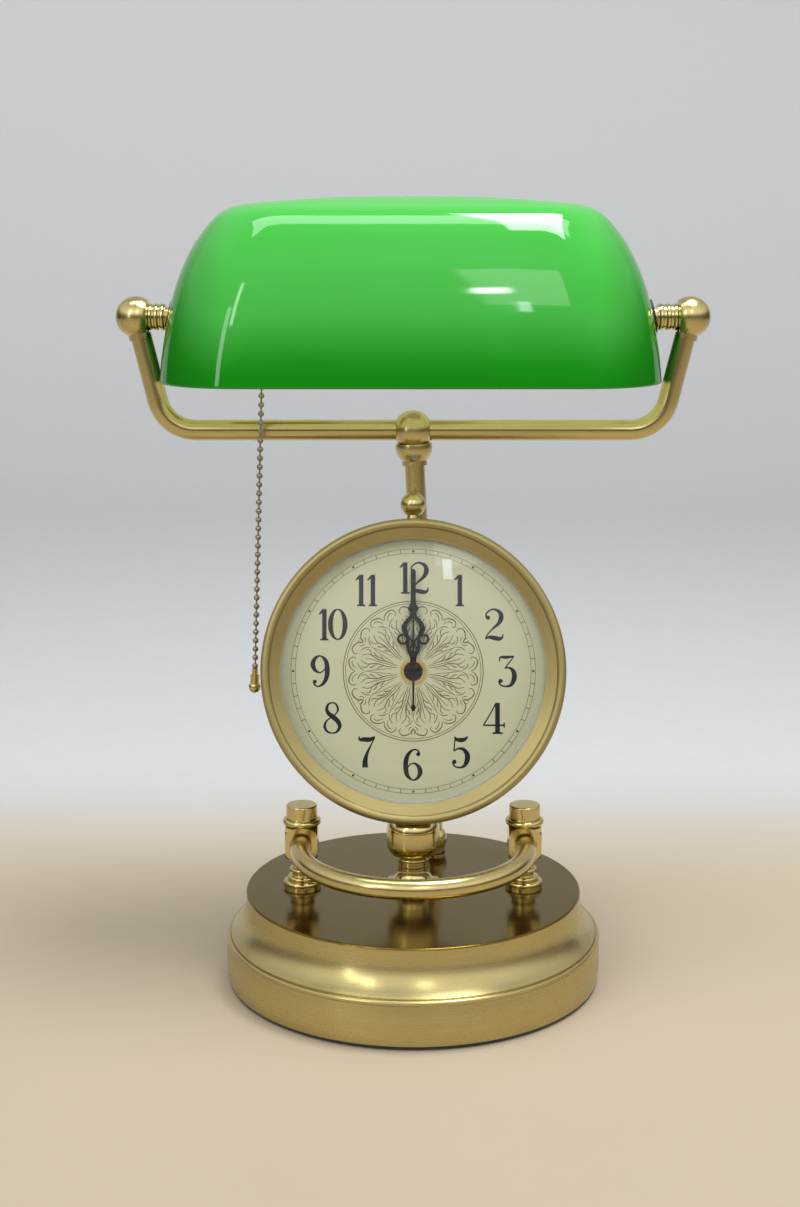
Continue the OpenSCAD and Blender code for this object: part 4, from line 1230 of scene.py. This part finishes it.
class LAMP_OT_felt_pad(bpy.types.Operator):
    """Cut the felt disc under the base, its edge softly rounded"""

    bl_idname = "lamp.felt_pad"
    bl_label = "Felt Pad"

    def execute(self, context):
        radius = (FELT_HIGH.x - FELT_LOW.x) / 2
        thick = FELT_HIGH.z - FELT_LOW.z
        bpy.ops.mesh.primitive_cylinder_add(
            vertices=192, radius=radius, depth=thick, location=(0, 0, FELT_LOW.z + thick / 2))
        piece = settle(named("felt_disc"))
        modified(piece, "BEVEL", width=0.0006, segments=3, limit_method="ANGLE")
        smooth(piece, 40)
        finish_piece(piece, "base", material("felt"), ["felt_pad"])
        return {"FINISHED"}


class LAMP_OT_stage(bpy.types.Operator):
    """Set a plain pale floor, soft lights, the world and the camera"""

    bl_idname = "lamp.stage"
    bl_label = "Stage"

    AIM = (0.0, 0.0, 0.33)
    # Name, place, width and height, brightness and colour
    LIGHTS = (
        ("ceiling", (0.0, 0.03, 1.4), (1.2, 0.3), 4.2, (0.93, 0.97, 1.0)),
        ("roof_window", (0.27, 0.04, 1.35), (0.55, 0.38), 13.0, (0.96, 0.99, 1.0)),
        ("left_window", (-0.95, -1.1, 0.68), (0.13, 0.75), 4.2, (0.9, 1.0, 0.97)),
        ("front_window_left", (-0.75, -1.2, 1.15), (0.14, 0.5), 7.0, (1.0, 1.0, 0.98)),
        ("front_window_right", (0.22, -1.3, 1.25), (0.24, 0.5), 2.2, (1.0, 1.0, 0.98)),
        ("far_window", (0.125, -1.37, 1.2), (0.045, 0.08), 24.0, (1.0, 1.0, 1.0)),
        ("far_window_low", (0.18, -1.4, 1.0), (0.045, 0.1), 9.0, (0.75, 0.85, 1.0)),
    )
    CAMERA_PLACE, CAMERA_DIP, CAMERA_LENS = (-0.0068, -0.8893, 0.3763), 11.43, 81.0
    FLOOR_SIZE, FLOOR_PLACE, WALL_HEIGHT = 6.0, (0, -1.4, -0.0002), 1.2
    # Depths between which the floor's colour turns into the backdrop's
    FADE = (0.09, 0.42)
    # Steps of the curve between floor and backdrop, and each step's length and turn
    SWEEP_STEPS, SWEEP_LENGTH, SWEEP_TURN = 12, 0.13, 7.5

    def floor_finish(self):
        """Pale and a little uneven, and in the distance the backdrop's colour."""
        finish = Finish("Pale Floor")
        parts = finish.parts(finish.place)
        tone, wall = colours().floor, colours().backdrop
        near = finish.mix(finish.noise(finish.place, 5.0, 5.0), colour4(tone, 0.95),
                          colour4(tone, 1.05))
        far = finish.mix(finish.noise(finish.place, 60.0, 4.0, 0.7), colour4(wall, 0.96),
                         colour4(wall, 1.04))
        rise = finish.span(parts[2], 0.0, 0.9, 0.0, 1.0)
        far = finish.mix(rise, far, colour4([min(1.0, c * 1.45) for c in wall]))
        edge = finish.add("ShaderNodeMapRange", {
            "Value": parts[1], "From Min": self.FADE[0], "From Max": self.FADE[1],
            "To Min": 0.0, "To Max": 1.0,
        }, interpolation_type="SMOOTHERSTEP").outputs["Result"]
        finish.set(Base_Color=finish.mix(edge, near, far), Roughness=0.6)
        return finish.material

    def floor(self):
        """A flat floor that sweeps up at its far edge into a backdrop."""
        bpy.ops.mesh.primitive_plane_add(size=self.FLOOR_SIZE, location=self.FLOOR_PLACE)
        sweep = settle(named("floor"))
        bpy.ops.object.mode_set(mode="EDIT")
        for k in range(self.SWEEP_STEPS):
            bpy.ops.mesh.select_all(action="DESELECT")
            bpy.ops.object.mode_set(mode="OBJECT")
            edges = sorted(sweep.data.edges, key=lambda e: sum(
                sweep.data.vertices[v].co.y + sweep.data.vertices[v].co.z for v in e.vertices))
            for vert in edges[-1].vertices:
                sweep.data.vertices[vert].select = True
            edges[-1].select = True
            bpy.ops.object.mode_set(mode="EDIT")
            a = math.radians(self.SWEEP_TURN * (k + 0.5))
            step = (0, self.SWEEP_LENGTH * math.cos(a), self.SWEEP_LENGTH * math.sin(a))
            bpy.ops.mesh.extrude_region_move(TRANSFORM_OT_translate={"value": step})
        rise = (0, 0, self.WALL_HEIGHT)
        bpy.ops.mesh.extrude_region_move(TRANSFORM_OT_translate={"value": rise})
        bpy.ops.object.mode_set(mode="OBJECT")
        sweep.data.materials.append(self.floor_finish())
        pick(sweep)
        bpy.ops.object.shade_smooth()

    def light(self, name, place, size, glow, colour):
        """A rectangular light of a given size in metres and brightness over its face."""
        bpy.ops.object.light_add(type="AREA", location=place)
        lamp = bpy.context.object
        lamp.name = name
        lamp.data.shape = "RECTANGLE"
        lamp.data.size, lamp.data.size_y = size
        lamp.data.energy = glow * math.pi * size[0] * size[1]
        lamp.data.color = colour
        aim = Vector(self.AIM) - Vector(place)
        lamp.rotation_euler = aim.to_track_quat("-Z", "Y").to_euler()

    def world(self):
        """A soft room: dim near the horizon and bright above it."""
        world = bpy.data.worlds.new("Soft Room")
        world.use_nodes = True
        bpy.context.scene.world = world
        shader = Shader(world.node_tree)
        shader.nodes.clear()
        parts = shader.parts(shader.add("ShaderNodeTexCoord").outputs["Generated"])
        up = shader.span(parts[2], -1.0, 1.0, 0.0, 1.0)
        tone = shader.ramp(up, (0.5, (0.07, 0.06, 0.045)), (0.58, (0.13, 0.125, 0.11)),
                           (0.7, (1.0, 1.0, 0.99)), (0.88, (0.78, 0.81, 0.83)),
                           (0.95, (0.4, 0.42, 0.44)))
        front = shader.span(parts[1], -0.7, 0.6, 1.4, 0.65)
        path = shader.add("ShaderNodeLightPath")
        back = shader.add("ShaderNodeBackground", {"Color": tone, "Strength": front})
        seen = shader.add("ShaderNodeBackground", {"Color": (0.6, 0.6, 0.62, 1.0)})
        mixed = shader.add("ShaderNodeMixShader", {
            0: path.outputs["Is Camera Ray"], 1: back, 2: seen,
        })
        end = shader.add("ShaderNodeOutputWorld")
        shader.tree.links.new(mixed.outputs[0], end.inputs["Surface"])

    def camera(self):
        """A level-sided view from in front, looking slightly down."""
        bpy.ops.object.camera_add(location=self.CAMERA_PLACE,
                                  rotation=(math.radians(90 - self.CAMERA_DIP), 0, 0))
        camera = bpy.context.object
        camera.name = "camera"
        camera.data.sensor_fit = "HORIZONTAL"
        camera.data.sensor_width = 36.0
        camera.data.lens = self.CAMERA_LENS
        camera.data.clip_start = 0.01
        camera.data.clip_end = 20.0
        bpy.context.scene.camera = camera

    def execute(self, context):
        self.floor()
        for light in self.LIGHTS:
            self.light(*light)
        self.world()
        self.camera()
        bpy.context.scene.view_settings.view_transform = "Standard"
        return {"FINISHED"}


class LAMP_PT_panel(bpy.types.Panel):
    """Buttons and settings of the desk lamp"""

    bl_idname = "LAMP_PT_panel"
    bl_label = "Desk Lamp"
    bl_space_type = "VIEW_3D"
    bl_region_type = "UI"
    bl_category = "Desk Lamp"

    def draw(self, context):
        layout = self.layout
        for operator in OPERATORS:
            layout.operator(operator.bl_idname)
        for settings in (context.scene.lamp_sizes, context.scene.lamp_colours):
            box = layout.box()
            for key in settings.__annotations__:
                box.prop(settings, key)


OPERATORS = (LAMP_OT_stage, LAMP_OT_finishes, LAMP_OT_shade, LAMP_OT_dial_print, LAMP_OT_hands,
             LAMP_OT_felt_pad)
CLASSES = (LampSizes, LampColours, *OPERATORS, LAMP_PT_panel)


def register():
    for one in CLASSES:
        bpy.utils.register_class(one)
    bpy.types.Scene.lamp_sizes = PointerProperty(type=LampSizes)
    bpy.types.Scene.lamp_colours = PointerProperty(type=LampColours)


def unregister():
    del bpy.types.Scene.lamp_colours
    del bpy.types.Scene.lamp_sizes
    for one in reversed(CLASSES):
        bpy.utils.unregister_class(one)


def main():
    """Builds the lamp and its stage."""
    register()
    deselect()
    bpy.ops.lamp.stage()
    bpy.ops.lamp.finishes()
    bpy.ops.lamp.shade()
    bpy.ops.lamp.dial_print()
    bpy.ops.lamp.hands()
    bpy.ops.lamp.felt_pad()


if __name__ == "__main__":
    main()
